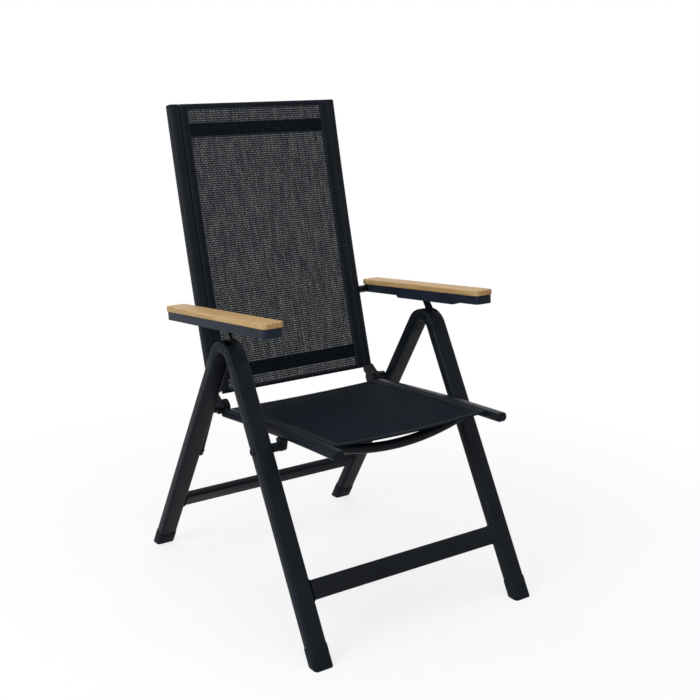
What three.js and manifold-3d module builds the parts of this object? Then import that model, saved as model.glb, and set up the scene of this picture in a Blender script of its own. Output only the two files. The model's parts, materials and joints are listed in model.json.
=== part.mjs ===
// A folding, multi-position sling patio chair with wooden arm slats, in millimetres.
// X runs across the chair, the chair faces -Y and +Z is up. The floor is z = 0.
import * as THREE from "three";
import { mergeVertices } from "three/addons/utils/BufferGeometryUtils.js";
import Module from "manifold-3d";

const wasm = await Module();
wasm.setup();

// Driving dimensions
const fit = 0.3; // gap between two pieces that meet
const wall = 2; // wall of the metal tubes

const legWidth = 44; // leg tube across the chair
const legDepth = 26; // leg tube in the side view
const legRounding = 7;
const frontLean = 29.5; // degrees from upright
const rearLean = 30.5; // degrees from upright
const frontFootY = -366; // where each leg's middle line meets the floor
const rearFootY = 366;
const apexY = -27; // pivot that joins front and rear legs
const apexZ = 593;

const footWall = 1;
const footHeight = 44; // moulded foot, measured along the leg
const footSole = 18; // solid part of the foot under the tube
const plugLength = 26; // moulded plugs inside tube ends

const frontBarHeight = 42; // stretcher between the front legs, along the leg
const frontBarDepth = 22;
const frontBarZ = 132;
const rearBarHeight = 36;
const rearBarDepth = 20;
const rearBarZ = 137;
const barRounding = 6;

const capLength = 62; // moulded top of the front leg, along the leg
const capCrown = 19; // top of the front leg above the apex pivot
const capSlotRoot = 9; // solid part of that top under its slot
const capSlotFront = 8.4; // slot's front wall, ahead of the leg's middle line
const apexBoltRadius = 4;
const apexBoltRecess = 0.8;
const elbowStart = 644; // up the rear leg, where the moulded elbow starts
const bendRadius = 39; // middle line of the bend that joins both legs
const cheekThickness = 5; // elbow's cheeks, which reach forward to the apex pivot
const hubRadius = 22; // reach of the cheeks round the apex pivot
const pocketFloor = 8; // open pocket beside the lock bar, above the apex pivot

const barThickness = 6; // flat steel lock bar
const barLean = 38; // degrees from upright
const barReach = 57.3; // from the apex pivot to the rack pin
const barRootRadius = 11;
const barHeadRadius = 8;
const barTailReach = 34; // tail that is held inside the elbow
const barTailRadius = 6;
const barTailDrop = 9; // degrees below level
const rackPinRadius = 3.5;
const rackPinLength = 20.4;

const seatPivotUp = 458; // up the front leg to the seat pivot
const seatPivotRadius = 4;
const boltHeadRadius = 9;
const boltHeadHeight = 4.5;
const spacerRadius = 10;

const railOffset = 214; // middle of seat and back rails from the middle plane
const railWidth = 27;
const legGap = 21.5; // between a rail and the leg beside it
const legOffset = railOffset + railWidth / 2 + legGap + legWidth / 2;
const seatRailHeight = 20;
const railRounding = 8;
const seatRearY = 116;
const seatRearZ = 401;
const seatFrontY = -343;
const seatFrontZ = 437.5;
const seatRailBow = 4; // rise of the rail's middle over its chord
const railCapLength = 5;
const railCapBevel = 2.5;
const railPlug = 10;

const bowSetback = 95; // front bow behind the rail's front end
const bowDiameter = 22;
const bowEndDrop = 8.5; // bow's ends below the rail's middle line
const bowDrop = 33;
const bowStub = 8; // level part at each end of the bow
const seatBarDiameter = 18;
const seatBarSetback = 16; // rear seat bar ahead of the rail's rear end
const seatBarDrop = 9.5;
const bracketLength = 30; // seat bracket under the rail
const bracketWidth = 13;
const bracketRadius = 11;

const slingThickness = 1.6;
const slingTuck = 1.1; // how far the sling reaches past a rail's inner face
const seatSlingRearGap = 2;
const seatSlingFrontSetback = 33;
const seatSag = 3;
const seatFrontSag = 7;

const hingeY = 135; // pivot that joins seat, back and stays
const hingeZ = 411;
const hingePinRadius = 5;
const hingeEarRadius = 16.5;
const knuckleRadius = 13;
const stayPivotUp = 341.8; // up the rear leg to the stay's lower pivot
const stayWidth = 22;
const stayThickness = 5;
const stayGap = 2; // between the stay and the leg beside it
const stayTail = 18; // stay's end past its lower pivot
const stayPinRadius = 5;
const stayPinHead = 3; // height and rim of that pin's head

const backRailDepth = 25;
const backBottomY = 169;
const backBottomZ = 436;
const backTopY = 341;
const backTopZ = 1079;
const backRailBow = 5.7;
const backBarHeight = 32;
const backBarDepth = 14;
const backTopBarDrop = 52; // cross bars below the rail's top and above its bottom
const backBottomBarRise = 38;
const backBarSetback = 3; // cross bars behind the rail's middle line
const backSlingDrop = 6; // back sling's bottom below the rail's end
const backSlingTopRise = 4; // back sling's top above the rail's end
const hingePlateEdge = 3;
const backEarShare = 0.75; // of a half turn that the back's ear is round

const armPivotZ = 619.7; // where the armrest pivots on the back rail's line
const armPivotRadius = 5;
const armCollarRadius = 9;
const armRise = 6.25; // degrees, front end up
const armTail = 15.4; // slat's rear end behind the arm pivot
const armPivotDrop = 9.1; // arm pivot below the slat's underside, at that end
const armLength = 449;
const armOutset = 4.5; // armrest's middle outside the leg's middle
const armMiddle = legOffset + armOutset;
const slatWidth = 49;
const slatThickness = 12.2;
const slatBevel = 2.4;
const slatCorner = 9;
const channelWidth = 45;
const channelHeight = 19.5;
const channelInset = 1.5;
const channelWall = 2.2;
const skirtDepth = 5.5; // deeper part of the inner wall, beside the rack
const skirtSetback = 141; // skirt's start, from the slat's rear end
const skirtLength = 244;
const skirtStep = 7; // slope at the skirt's rear end
const skirtFade = 26; // slope at its front end
const rackWidth = 5.5;
const rackLift = 3.6; // tooth tips above the rack pin
const toothDepth = 2.4;
const rackTeeth = 7;
const rackPitch = 20.2;
const rackEnd = 14;

const cornerSteps = 3;
const roundSteps = 24;
const curveSteps = 10;

// Finishes
const finish = (color, roughness, metalness) =>
  new THREE.MeshStandardMaterial({ color, roughness, metalness });
const frameFinish = () => finish(0x1d1f23, 0.5, 0.35);
const channelFinish = () => finish(0x2a2d34, 0.5, 0.3);
const mouldedFinish = () => finish(0x141518, 0.6, 0);
const steelFinish = () => finish(0x24262a, 0.4, 0.8);
const woodFinish = () => finish(0xc29b69, 0.6, 0);
const slingFinish = () => finish(0x202227, 0.85, 0);

// Derived positions, in the side view (y, z)
const rad = THREE.MathUtils.degToRad;
const at = (y, z) => new THREE.Vector2(y, z);
const along = (from, direction, distance) =>
  from.clone().addScaledVector(direction, distance);
const lean = (degrees) => at(Math.sin(rad(degrees)), Math.cos(rad(degrees)));
const across = (direction) => at(direction.y, -direction.x);

const frontFoot = at(frontFootY, 0);
const rearFoot = at(rearFootY, 0);
const frontUp = lean(frontLean);
const rearUp = lean(-rearLean);
const apex = at(apexY, apexZ);
const apexUp = apex.clone().sub(frontFoot).dot(frontUp);
const legInner = legOffset - legWidth / 2;
const legOuter = legOffset + legWidth / 2;
const railInner = railOffset - railWidth / 2;
const railOuter = railOffset + railWidth / 2;
const seatPivot = along(frontFoot, frontUp, seatPivotUp);
const hinge = at(hingeY, hingeZ);
const stayPivot = along(rearFoot, rearUp, stayPivotUp);
const rackPin = along(apex, lean(barLean), barReach);

// Shape helpers
function closed(geometry) {
  const merged = mergeVertices(
    new THREE.BufferGeometry()
      .setAttribute("position", geometry.getAttribute("position"))
      .setIndex(geometry.getIndex()),
    1e-4,
  );
  const p = merged.getAttribute("position");
  const index = Array.from(merged.getIndex().array);
  const corner = (i) => new THREE.Vector3().fromBufferAttribute(p, i);
  let volume = 0;
  const kept = [];
  for (let i = 0; i < index.length; i += 3) {
    const [a, b, c] = index.slice(i, i + 3);
    if (a === b || b === c || a === c) continue;
    volume += corner(a).dot(corner(b).cross(corner(c)));
    kept.push(a, b, c);
  }
  if (volume < 0)
    for (let i = 0; i < kept.length; i += 3)
      [kept[i + 1], kept[i + 2]] = [kept[i + 2], kept[i + 1]];
  return merged.setIndex(kept);
}

function solid(geometry) {
  const g = closed(geometry);
  return new wasm.Manifold(
    new wasm.Mesh({
      numProp: 3,
      vertProperties: new Float32Array(g.getAttribute("position").array),
      triVerts: new Uint32Array(g.getIndex().array),
    }),
  );
}

function shape(made) {
  const mesh = made.getMesh();
  const positions = new Float32Array(mesh.numVert * 3);
  for (let i = 0; i < mesh.numVert; i++)
    for (let k = 0; k < 3; k++)
      positions[i * 3 + k] = mesh.vertProperties[i * mesh.numProp + k];
  return new THREE.BufferGeometry()
    .setAttribute("position", new THREE.BufferAttribute(positions, 3))
    .setIndex(Array.from(mesh.triVerts));
}

const join = (...pieces) =>
  shape(pieces.map(solid).reduce((a, b) => a.add(b)));
const cut = (piece, ...tools) =>
  shape(tools.map(solid).reduce((a, b) => a.subtract(b), solid(piece)));
const keep = (piece, tool) => shape(solid(piece).intersect(solid(tool)));

// A rounded rectangle as a list of points, first number across the chair.
function section(width, height, rounding) {
  const points = [];
  const middles = [
    [width / 2 - rounding, height / 2 - rounding],
    [rounding - width / 2, height / 2 - rounding],
    [rounding - width / 2, rounding - height / 2],
    [width / 2 - rounding, rounding - height / 2],
  ];
  middles.forEach(([a, b], quarter) => {
    for (let i = 0; i <= cornerSteps; i++) {
      const turn = ((quarter + i / cornerSteps) * Math.PI) / 2;
      points.push([
        a + rounding * Math.cos(turn),
        b + rounding * Math.sin(turn),
      ]);
    }
  });
  return points;
}

function ring(diameter, steps = roundSteps) {
  return Array.from({ length: steps }, (_, i) => {
    const turn = (i / steps) * Math.PI * 2;
    return [(diameter / 2) * Math.cos(turn), (diameter / 2) * Math.sin(turn)];
  });
}

// A section carried along a flat path. side is the path plane's normal.
function sweep(path, side, outer, inner) {
  const positions = [];
  const index = [];
  const loops = inner ? [outer, inner] : [outer];
  const n = outer.length;
  path.forEach((point, i) => {
    const back = i ? point.clone().sub(path[i - 1]).normalize() : null;
    const ahead =
      i < path.length - 1 ? path[i + 1].clone().sub(point).normalize() : null;
    const tangent = (back || ahead).clone();
    if (back && ahead) tangent.add(ahead).normalize();
    const stretch = back && ahead ? 1 / tangent.dot(back) : 1;
    const up = side.clone().cross(tangent).normalize().multiplyScalar(stretch);
    for (const loop of loops)
      for (const [a, b] of loop) {
        const v = point.clone().addScaledVector(side, a).addScaledVector(up, b);
        positions.push(v.x, v.y, v.z);
      }
  });
  const stride = n * loops.length;
  const quad = (a, b, c, d) => index.push(a, b, c, a, c, d);
  for (let i = 0; i < path.length - 1; i++)
    for (let j = 0; j < n; j++) {
      const k = (j + 1) % n;
      const [a, b] = [i * stride, (i + 1) * stride];
      quad(a + j, a + k, b + k, b + j);
      if (inner) quad(a + n + k, a + n + j, b + n + j, b + n + k);
    }
  const last = (path.length - 1) * stride;
  for (let j = 0; j < n; j++) {
    const k = (j + 1) % n;
    if (inner) {
      quad(k, j, n + j, n + k);
      quad(last + j, last + k, last + n + k, last + n + j);
    } else if (j > 0 && j < n - 1) {
      index.push(0, k, j, last, last + j, last + k);
    }
  }
  return closed(
    new THREE.BufferGeometry()
      .setAttribute("position", new THREE.Float32BufferAttribute(positions, 3))
      .setIndex(index),
  );
}

const sideways = new THREE.Vector3(1, 0, 0);
const inPlane = (x, points) =>
  points.map((p) => new THREE.Vector3(x, p.x, p.y));
const tubeSections = (width, height, rounding) => [
  section(width, height, rounding),
  section(width - 2 * wall, height - 2 * wall, rounding - wall),
];

// Points of a shallow arc from one end to the other, bowed to the left.
function arc(from, to, bow, steps = curveSteps) {
  const chord = to.clone().sub(from);
  const normal = across(chord.clone().normalize()).multiplyScalar(-bow);
  return Array.from({ length: steps + 1 }, (_, i) => {
    const t = i / steps;
    return from
      .clone()
      .addScaledVector(chord, t)
      .addScaledVector(normal, 4 * t * (1 - t));
  });
}

// A side-view outline given thickness across the chair.
function slab(outline, from, to) {
  const extruded = new THREE.ExtrudeGeometry(new THREE.Shape(outline), {
    depth: to - from,
    bevelEnabled: false,
  });
  extruded.applyMatrix4(
    new THREE.Matrix4().makeBasis(
      new THREE.Vector3(0, 1, 0),
      new THREE.Vector3(0, 0, 1),
      sideways,
    ),
  );
  return closed(extruded.translate(from, 0, 0));
}

// The outline around two circles.
function lozenge(p, q, radiusP, radiusQ, steps = roundSteps / 2) {
  const line = q.clone().sub(p);
  const heading = Math.atan2(line.y, line.x);
  const tilt = Math.acos((radiusP - radiusQ) / line.length());
  const points = [];
  const round = (centre, radius, start, sweepAngle) => {
    for (let i = 0; i <= steps; i++) {
      const turn = start + (sweepAngle * i) / steps;
      points.push(
        at(
          centre.x + radius * Math.cos(turn),
          centre.y + radius * Math.sin(turn),
        ),
      );
    }
  };
  round(q, radiusQ, heading - tilt, 2 * tilt);
  round(p, radiusP, heading + tilt, 2 * Math.PI - 2 * tilt);
  return points;
}

function rod(centre, radius, from, to) {
  return closed(
    new THREE.CylinderGeometry(radius, radius, to - from, roundSteps)
      .rotateZ(Math.PI / 2)
      .translate((from + to) / 2, centre.x, centre.y),
  );
}

// A turned piece on an axis across the chair, from [distance, radius] steps.
function turned(centre, steps) {
  const profile = [[steps[0][0], 0], ...steps, [steps.at(-1)[0], 0]];
  const lathe = new THREE.LatheGeometry(
    profile.map(([distance, radius]) => at(radius, distance)),
    roundSteps,
  );
  return closed(lathe.rotateZ(-Math.PI / 2).translate(0, centre.x, centre.y));
}

// A thin sheet over a grid of middle-surface points, thickened along up.
function sheet(pointAt, countU, countV, thickness, up) {
  const positions = [];
  const index = [];
  const id = (level, i, j) => (level * (countU + 1) + i) * (countV + 1) + j;
  for (const level of [0, 1])
    for (let i = 0; i <= countU; i++)
      for (let j = 0; j <= countV; j++) {
        const p = pointAt(i / countU, j / countV);
        p.addScaledVector(up, (level - 0.5) * thickness);
        positions.push(p.x, p.y, p.z);
      }
  const quad = (a, b, c, d) => index.push(a, b, c, a, c, d);
  for (let i = 0; i < countU; i++)
    for (let j = 0; j < countV; j++) {
      quad(id(1, i, j), id(1, i + 1, j), id(1, i + 1, j + 1), id(1, i, j + 1));
      quad(id(0, i, j), id(0, i, j + 1), id(0, i + 1, j + 1), id(0, i + 1, j));
    }
  for (let i = 0; i < countU; i++) {
    quad(id(0, i, 0), id(0, i + 1, 0), id(1, i + 1, 0), id(1, i, 0));
    const j = countV;
    quad(id(0, i + 1, j), id(0, i, j), id(1, i, j), id(1, i + 1, j));
  }
  for (let j = 0; j < countV; j++) {
    quad(id(0, 0, j + 1), id(0, 0, j), id(1, 0, j), id(1, 0, j + 1));
    const i = countU;
    quad(id(0, i, j), id(0, i, j + 1), id(1, i, j + 1), id(1, i, j));
  }
  return closed(
    new THREE.BufferGeometry()
      .setAttribute("position", new THREE.Float32BufferAttribute(positions, 3))
      .setIndex(index),
  );
}

// Assembly
const group = new THREE.Group();
const add = (name, geometry, material) => {
  const mesh = new THREE.Mesh(geometry, material);
  mesh.name = name;
  group.add(mesh);
};
// Each paired piece is built for the +X side and mirrored for the other side.
const addPair = (name, geometry, makeMaterial) => {
  add(name + "_left", geometry, makeMaterial());
  const mirrored = closed(geometry.clone().scale(-1, 1, 1));
  add(name + "_right", mirrored, makeMaterial());
};
const pathAlong = (foot, up, distances) =>
  inPlane(legOffset, distances.map((d) => along(foot, up, d)));

// Legs
const seatBolt = rod(
  seatPivot,
  seatPivotRadius + fit,
  railInner,
  legOuter + boltHeadHeight,
);
const legSections = tubeSections(legWidth, legDepth, legRounding);
const plugSection = section(
  legWidth - 2 * (wall + fit),
  legDepth - 2 * (wall + fit),
  legRounding - wall - fit,
);
const capStart = apexUp - capLength + legDepth;

const frontLegPath = pathAlong(frontFoot, frontUp, [footSole + fit, capStart]);
addPair(
  "front_leg",
  cut(sweep(frontLegPath, sideways, ...legSections), seatBolt),
  frameFinish,
);
const rearLegPath = pathAlong(rearFoot, rearUp, [footSole + fit, elbowStart]);
addPair("rear_leg", sweep(rearLegPath, sideways, ...legSections), frameFinish);

function foot(base, up) {
  const outer = section(
    legWidth + 2 * (fit + footWall),
    legDepth + 2 * (fit + footWall),
    legRounding + fit + footWall,
  );
  const pocket = section(
    legWidth + 2 * fit,
    legDepth + 2 * fit,
    legRounding + fit,
  );
  const body = sweep(
    pathAlong(base, up, [-legDepth, footHeight]),
    sideways,
    outer,
  );
  const hollow = sweep(
    pathAlong(base, up, [footSole, footHeight + wall]),
    sideways,
    pocket,
  );
  const floor = new THREE.BoxGeometry(legWidth * 2, legDepth * 4, footHeight * 4)
    .translate(legOffset, base.x, -footHeight * 2);
  return cut(body, hollow, floor);
}
addPair("front_foot", foot(frontFoot, frontUp), mouldedFinish);
addPair("rear_foot", foot(rearFoot, rearUp), mouldedFinish);

function stretcher(base, up, z, height, depth) {
  const middle = along(base, up, z / up.y);
  const inset = legInner - fit;
  const path = [-inset, inset].map(
    (x) => new THREE.Vector3(x, middle.x, middle.y),
  );
  const tall = new THREE.Vector3(0, up.x, up.y);
  return sweep(path, tall, ...tubeSections(height, depth, barRounding));
}
add(
  "front_stretcher",
  stretcher(frontFoot, frontUp, frontBarZ, frontBarHeight, frontBarDepth),
  frameFinish(),
);
add(
  "rear_stretcher",
  stretcher(rearFoot, rearUp, rearBarZ, rearBarHeight, rearBarDepth),
  frameFinish(),
);

// Leg tops, elbow and lock bar
const barInner = legOffset - barThickness / 2;
const barOuter = legOffset + barThickness / 2;
const tailDirection = at(
  Math.cos(rad(barTailDrop)),
  -Math.sin(rad(barTailDrop)),
);
const barTail = along(apex, tailDirection, barTailReach);

// The middle of the bend, as far behind the front legs' line as ahead of the rear legs'.
const bendCentre = (() => {
  const [a, b] = [across(frontUp), across(rearUp)];
  const [reachA, reachB] = [frontFoot.dot(a) + bendRadius, rearFoot.dot(b) - bendRadius];
  const spread = a.x * b.y - a.y * b.x;
  return at(
    (reachA * b.y - reachB * a.y) / spread,
    (reachB * a.x - reachA * b.x) / spread,
  );
})();
const bendPoints = (from, to) =>
  Array.from({ length: curveSteps + 1 }, (_, i) => {
    const heading = rad(from + ((to - from) * i) / curveSteps);
    return along(bendCentre, at(Math.cos(heading), Math.sin(heading)), bendRadius);
  });
const overFront = 180 - frontLean; // headings of the bend's two ends and its top
const overTop = 90;
const cheekInner = legInner + cheekThickness;
const cheekOuter = legOuter - cheekThickness;

function legTop() {
  const rear = across(frontUp);
  const point = (up, back) =>
    along(along(frontFoot, frontUp, up), rear, back);
  const half = legDepth / 2;
  const profile = lozenge(
    point(capStart + fit - half, 0),
    point(apexUp + capCrown - half, 0),
    half,
    half,
  );
  const below = slab(
    [
      point(capStart + fit, -legDepth),
      point(capStart + fit, legDepth),
      point(capStart - legDepth, legDepth),
      point(capStart - legDepth, -legDepth),
    ],
    legInner - wall,
    legOuter + wall,
  );
  const envelope = sweep(
    inPlane(legOffset, [point(capStart, 0), ...bendPoints(overFront, overTop)]),
    sideways,
    section(legWidth, legDepth, legRounding),
  );
  const plug = sweep(
    pathAlong(frontFoot, frontUp, [capStart - plugLength, capStart + legDepth]),
    sideways,
    plugSection,
  );
  const above = (floor, front, from, to) =>
    slab(
      [
        point(floor, front),
        point(floor, legDepth),
        point(apexUp + 2 * legDepth, legDepth),
        point(apexUp + 2 * legDepth, front),
      ],
      from,
      to,
    );
  const slot = above(
    capStart + capSlotRoot,
    -capSlotFront,
    barInner - fit,
    barOuter + fit,
  );
  const pocket = above(
    apexUp + pocketFloor,
    -legDepth,
    barInner - fit,
    cheekOuter - fit,
  );
  // Room for the elbow's cheeks on both sides.
  const sides = [
    [legInner - wall, cheekInner + fit],
    [cheekOuter - fit, legOuter + wall],
  ].flatMap(([from, to]) => [
    rod(apex, hubRadius + fit, from, to),
    above(apexUp, -legDepth, from, to),
  ]);
  const body = cut(keep(slab(profile, legInner, legOuter), envelope), below);
  return cut(
    join(body, plug),
    slot,
    pocket,
    ...sides,
    rod(apex, apexBoltRadius + fit, legInner - wall, legOuter + wall),
  );
}
addPair("front_leg_top", legTop(), mouldedFinish);
addPair(
  "apex_bolt",
  rod(
    apex,
    apexBoltRadius,
    legInner + apexBoltRecess,
    legOuter - apexBoltRecess,
  ),
  steelFinish,
);

function lockBarOutline(extra) {
  return [
    lozenge(apex, rackPin, barRootRadius + extra, barHeadRadius + extra),
    lozenge(apex, barTail, barRootRadius + extra, barTailRadius + extra),
  ];
}
function lockBar() {
  const [head, tail] = lockBarOutline(0);
  return cut(
    join(slab(head, barInner, barOuter), slab(tail, barInner, barOuter)),
    rod(apex, apexBoltRadius + fit, legInner, legOuter),
    rod(rackPin, rackPinRadius + fit, legInner, legOuter),
  );
}
addPair("lock_bar", lockBar(), steelFinish);
addPair(
  "rack_pin",
  rod(
    rackPin,
    rackPinRadius,
    legOffset - rackPinLength / 2,
    legOffset + rackPinLength / 2,
  ),
  steelFinish,
);

function elbow() {
  const low = along(frontFoot, frontUp, apexUp - hubRadius - wall);
  const shell = sweep(
    inPlane(legOffset, [
      along(rearFoot, rearUp, elbowStart + fit),
      ...bendPoints(rearLean, overFront),
      low,
    ]),
    sideways,
    section(legWidth, legDepth, legRounding),
  );
  const plug = sweep(
    pathAlong(rearFoot, rearUp, [elbowStart - plugLength, elbowStart + wall]),
    sideways,
    plugSection,
  );
  // What lies round the front leg, further from the pivot than the cheeks reach.
  const ahead = across(frontUp).negate();
  const end = along(low, frontUp, -wall);
  const beyond = cut(
    slab(
      [
        along(apex, ahead, legDepth),
        along(apex, ahead, -legDepth),
        along(end, ahead, -legDepth),
        along(end, ahead, legDepth),
      ],
      legInner - wall,
      legOuter + wall,
    ),
    rod(apex, hubRadius, legInner - 2 * wall, legOuter + 2 * wall),
  );
  const slots = lockBarOutline(fit).map((outline) =>
    slab(outline, barInner - fit, barOuter + fit),
  );
  return cut(
    join(shell, plug),
    beyond,
    rod(apex, hubRadius + fit, cheekInner, cheekOuter),
    rod(apex, apexBoltRadius + fit, legInner - wall, legOuter + wall),
    ...slots,
  );
}
addPair("apex_elbow", elbow(), mouldedFinish);

// Seat pivot
addPair(
  "seat_bolt",
  turned(seatPivot, [
    [railOuter - bracketWidth + wall, seatPivotRadius],
    [legOuter + fit, seatPivotRadius],
    [legOuter + fit, boltHeadRadius],
    [legOuter + fit + boltHeadHeight / 2, boltHeadRadius],
    [legOuter + fit + boltHeadHeight, boltHeadRadius / 2],
  ]),
  steelFinish,
);
addPair(
  "seat_spacer",
  cut(rod(seatPivot, spacerRadius, railOuter + fit, legInner - fit), seatBolt),
  mouldedFinish,
);

// Seat frame
const seatRear = at(seatRearY, seatRearZ);
const seatFront = at(seatFrontY, seatFrontZ);
const seatLine = arc(seatFront, seatRear, seatRailBow).reverse();
const seatLineAt = (y) => {
  const t = (seatRearY - y) / (seatRearY - seatFrontY);
  const chord = seatRearZ + (seatFrontZ - seatRearZ) * t;
  return chord + 4 * seatRailBow * t * (1 - t);
};
addPair(
  "seat_rail",
  sweep(
    inPlane(railOffset, seatLine),
    sideways,
    ...tubeSections(railWidth, seatRailHeight, railRounding),
  ),
  frameFinish,
);

// A cap and its plug on the end of a rail.
function railCap(end, before, height) {
  const out = end.clone().sub(before).normalize();
  const layer = (distance, shrink) => {
    const middle = along(end, out, distance);
    return {
      middle,
      loop: section(
        railWidth - 2 * shrink,
        height - 2 * shrink,
        railRounding - shrink,
      ),
    };
  };
  const plate = sweep(
    inPlane(railOffset, [
      layer(fit, 0).middle,
      layer(railCapLength - railCapBevel, 0).middle,
    ]),
    sideways,
    layer(0, 0).loop,
  );
  const crown = sweep(
    inPlane(railOffset, [
      layer(railCapLength - railCapBevel - fit, 0).middle,
      layer(railCapLength, 0).middle,
    ]),
    sideways,
    layer(0, railCapBevel / 2).loop,
  );
  const plug = sweep(
    inPlane(railOffset, [layer(-railPlug, 0).middle, layer(wall, 0).middle]),
    sideways,
    layer(0, wall + fit).loop,
  );
  return join(plate, crown, plug);
}
addPair(
  "seat_rail_cap",
  railCap(seatLine.at(-1), seatLine.at(-2), seatRailHeight),
  mouldedFinish,
);

// Front bow: a bent tube that dips between the rails.
const bowY = seatFrontY + bowSetback;
const bowEnd = railInner - fit;
const bowCurve = bowEnd - bowStub;
const bowPoint = (x) => {
  const share = Math.min(1, Math.abs(x) / bowCurve);
  const drop = bowEndDrop + bowDrop * (1 - share * share);
  return new THREE.Vector3(x, bowY, seatLineAt(bowY) - drop);
};
const bowPath = [bowPoint(-bowEnd)];
for (let i = -curveSteps; i <= curveSteps; i++)
  bowPath.push(bowPoint((bowCurve * i) / curveSteps));
bowPath.push(bowPoint(bowEnd));
const depthAxis = new THREE.Vector3(0, 1, 0);
const roundTube = (diameter) => [
  ring(diameter, roundSteps / 2),
  ring(diameter - 2 * wall, roundSteps / 2),
];
add("seat_bow", sweep(bowPath, depthAxis, ...roundTube(bowDiameter)),
  frameFinish());

const seatBarY = seatRearY - seatBarSetback;
const seatBarZ = seatLineAt(seatBarY) - seatBarDrop;
add(
  "seat_rear_bar",
  sweep(
    [-bowEnd, bowEnd].map((x) => new THREE.Vector3(x, seatBarY, seatBarZ)),
    depthAxis,
    ...roundTube(seatBarDiameter),
  ),
  frameFinish(),
);

// Bracket that hangs the rail on the seat bolt.
function seatBracket() {
  const under = (y) => at(y, seatLineAt(y) - seatRailHeight / 2 - fit);
  const outline = [
    under(seatPivot.x - bracketLength / 2),
    under(seatPivot.x),
    under(seatPivot.x + bracketLength / 2),
  ];
  for (let i = 0; i <= roundSteps / 2; i++) {
    const turn = (-Math.PI * i) / (roundSteps / 2);
    outline.push(
      at(
        seatPivot.x + bracketRadius * Math.cos(turn),
        seatPivot.y + bracketRadius * Math.sin(turn),
      ),
    );
  }
  const block = slab(outline, railOuter - bracketWidth, railOuter);
  return cut(block, seatBolt);
}
addPair("seat_bracket", seatBracket(), frameFinish);

// Seat sling
const slingHalf = railInner + slingTuck;
// The sling's middle surface clears the rail's rounded edge by the fit.
const slingLiftOver = (railHeight) =>
  railHeight / 2 -
  railRounding +
  Math.sqrt(railRounding ** 2 - (railRounding - slingTuck) ** 2) +
  fit +
  slingThickness / 2;
const seatSlingLift = slingLiftOver(seatRailHeight);
const backSlingLift = slingLiftOver(backRailDepth);
const seatSlingRearY = seatRearY - seatSlingRearGap;
const seatSlingFrontY = seatFrontY + seatSlingFrontSetback;
const upward = new THREE.Vector3(0, 0, 1);
add(
  "seat_sling",
  sheet(
    (u, v) => {
      const x = slingHalf * (2 * u - 1);
      const y = seatSlingRearY + (seatSlingFrontY - seatSlingRearY) * v;
      const hang = 1 - (2 * u - 1) ** 2;
      const sag = seatSag + (seatFrontSag - seatSag) * v;
      return new THREE.Vector3(x, y, seatLineAt(y) + seatSlingLift - sag * hang);
    },
    curveSteps,
    curveSteps,
    slingThickness,
    upward,
  ),
  slingFinish(),
);

// Rear hinge: seat ear, back ear, knuckle and stay
const earSplit = railOffset;
// A plug that fills a rail's end, and carries on past it by the wall.
function railEndPlug(end, inward, height) {
  return sweep(
    inPlane(railOffset, [
      along(end, inward, railPlug),
      along(end, inward, -fit - wall),
    ]),
    sideways,
    section(
      railWidth - 2 * (wall + fit),
      height - 2 * (wall + fit),
      railRounding - wall - fit,
    ),
  );
}
// A block that covers a rail's end and the fit beyond it.
function railEndBlock(end, inward, height, from, to) {
  const tall = across(inward);
  const corner = (distance, rise) =>
    along(along(end, inward, distance), tall, rise);
  return slab(
    [
      corner(-fit, -2 * height),
      corner(-fit, 2 * height),
      corner(3 * height, 2 * height),
      corner(3 * height, -2 * height),
    ],
    from,
    to,
  );
}
const hingeHole = rod(hinge, hingePinRadius + fit, railInner, legInner);

function seatEar() {
  const lobe = lozenge(
    seatRear,
    hinge,
    seatRailHeight / 2 - wall,
    hingeEarRadius,
  );
  const inward = seatLine[1].clone().sub(seatRear).normalize();
  const [from, to] = [railInner + wall, earSplit - fit / 2];
  const plate = cut(
    slab(lobe, from, to),
    railEndBlock(seatRear, inward, seatRailHeight, railInner, railOuter),
  );
  const plug = keep(
    railEndPlug(seatRear, inward, seatRailHeight),
    slab(
      [
        at(seatRearY - seatRailHeight, seatRearZ - seatRailHeight),
        at(seatRearY + seatRailHeight, seatRearZ - seatRailHeight),
        at(seatRearY + seatRailHeight, seatRearZ + seatRailHeight),
        at(seatRearY - seatRailHeight, seatRearZ + seatRailHeight),
      ],
      railInner,
      to,
    ),
  );
  return cut(join(plate, plug), hingeHole);
}
addPair("seat_hinge", seatEar(), mouldedFinish);

const backBottom = at(backBottomY, backBottomZ);
const backTop = at(backTopY, backTopZ);
const backLine = arc(backTop, backBottom, backRailBow).reverse();
const backUp = backTop.clone().sub(backBottom).normalize();
const backRear = across(backUp);
const backLineAt = (z) => {
  const t = (z - backBottomZ) / (backTopZ - backBottomZ);
  return along(
    along(backBottom, backUp, t * backTop.distanceTo(backBottom)),
    backRear,
    4 * backRailBow * t * (1 - t),
  );
};
const armPivot = backLineAt(armPivotZ);
const armRear = at(armPivot.x + armTail, armPivot.y + armPivotDrop);

addPair(
  "back_rail",
  cut(
    sweep(
      inPlane(railOffset, backLine),
      sideways,
      ...tubeSections(railWidth, backRailDepth, railRounding),
    ),
    rod(armPivot, armPivotRadius + fit, railInner - wall, railOuter + wall),
  ),
  frameFinish,
);
addPair(
  "back_rail_cap",
  railCap(backLine.at(-1), backLine.at(-2), backRailDepth),
  mouldedFinish,
);

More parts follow.
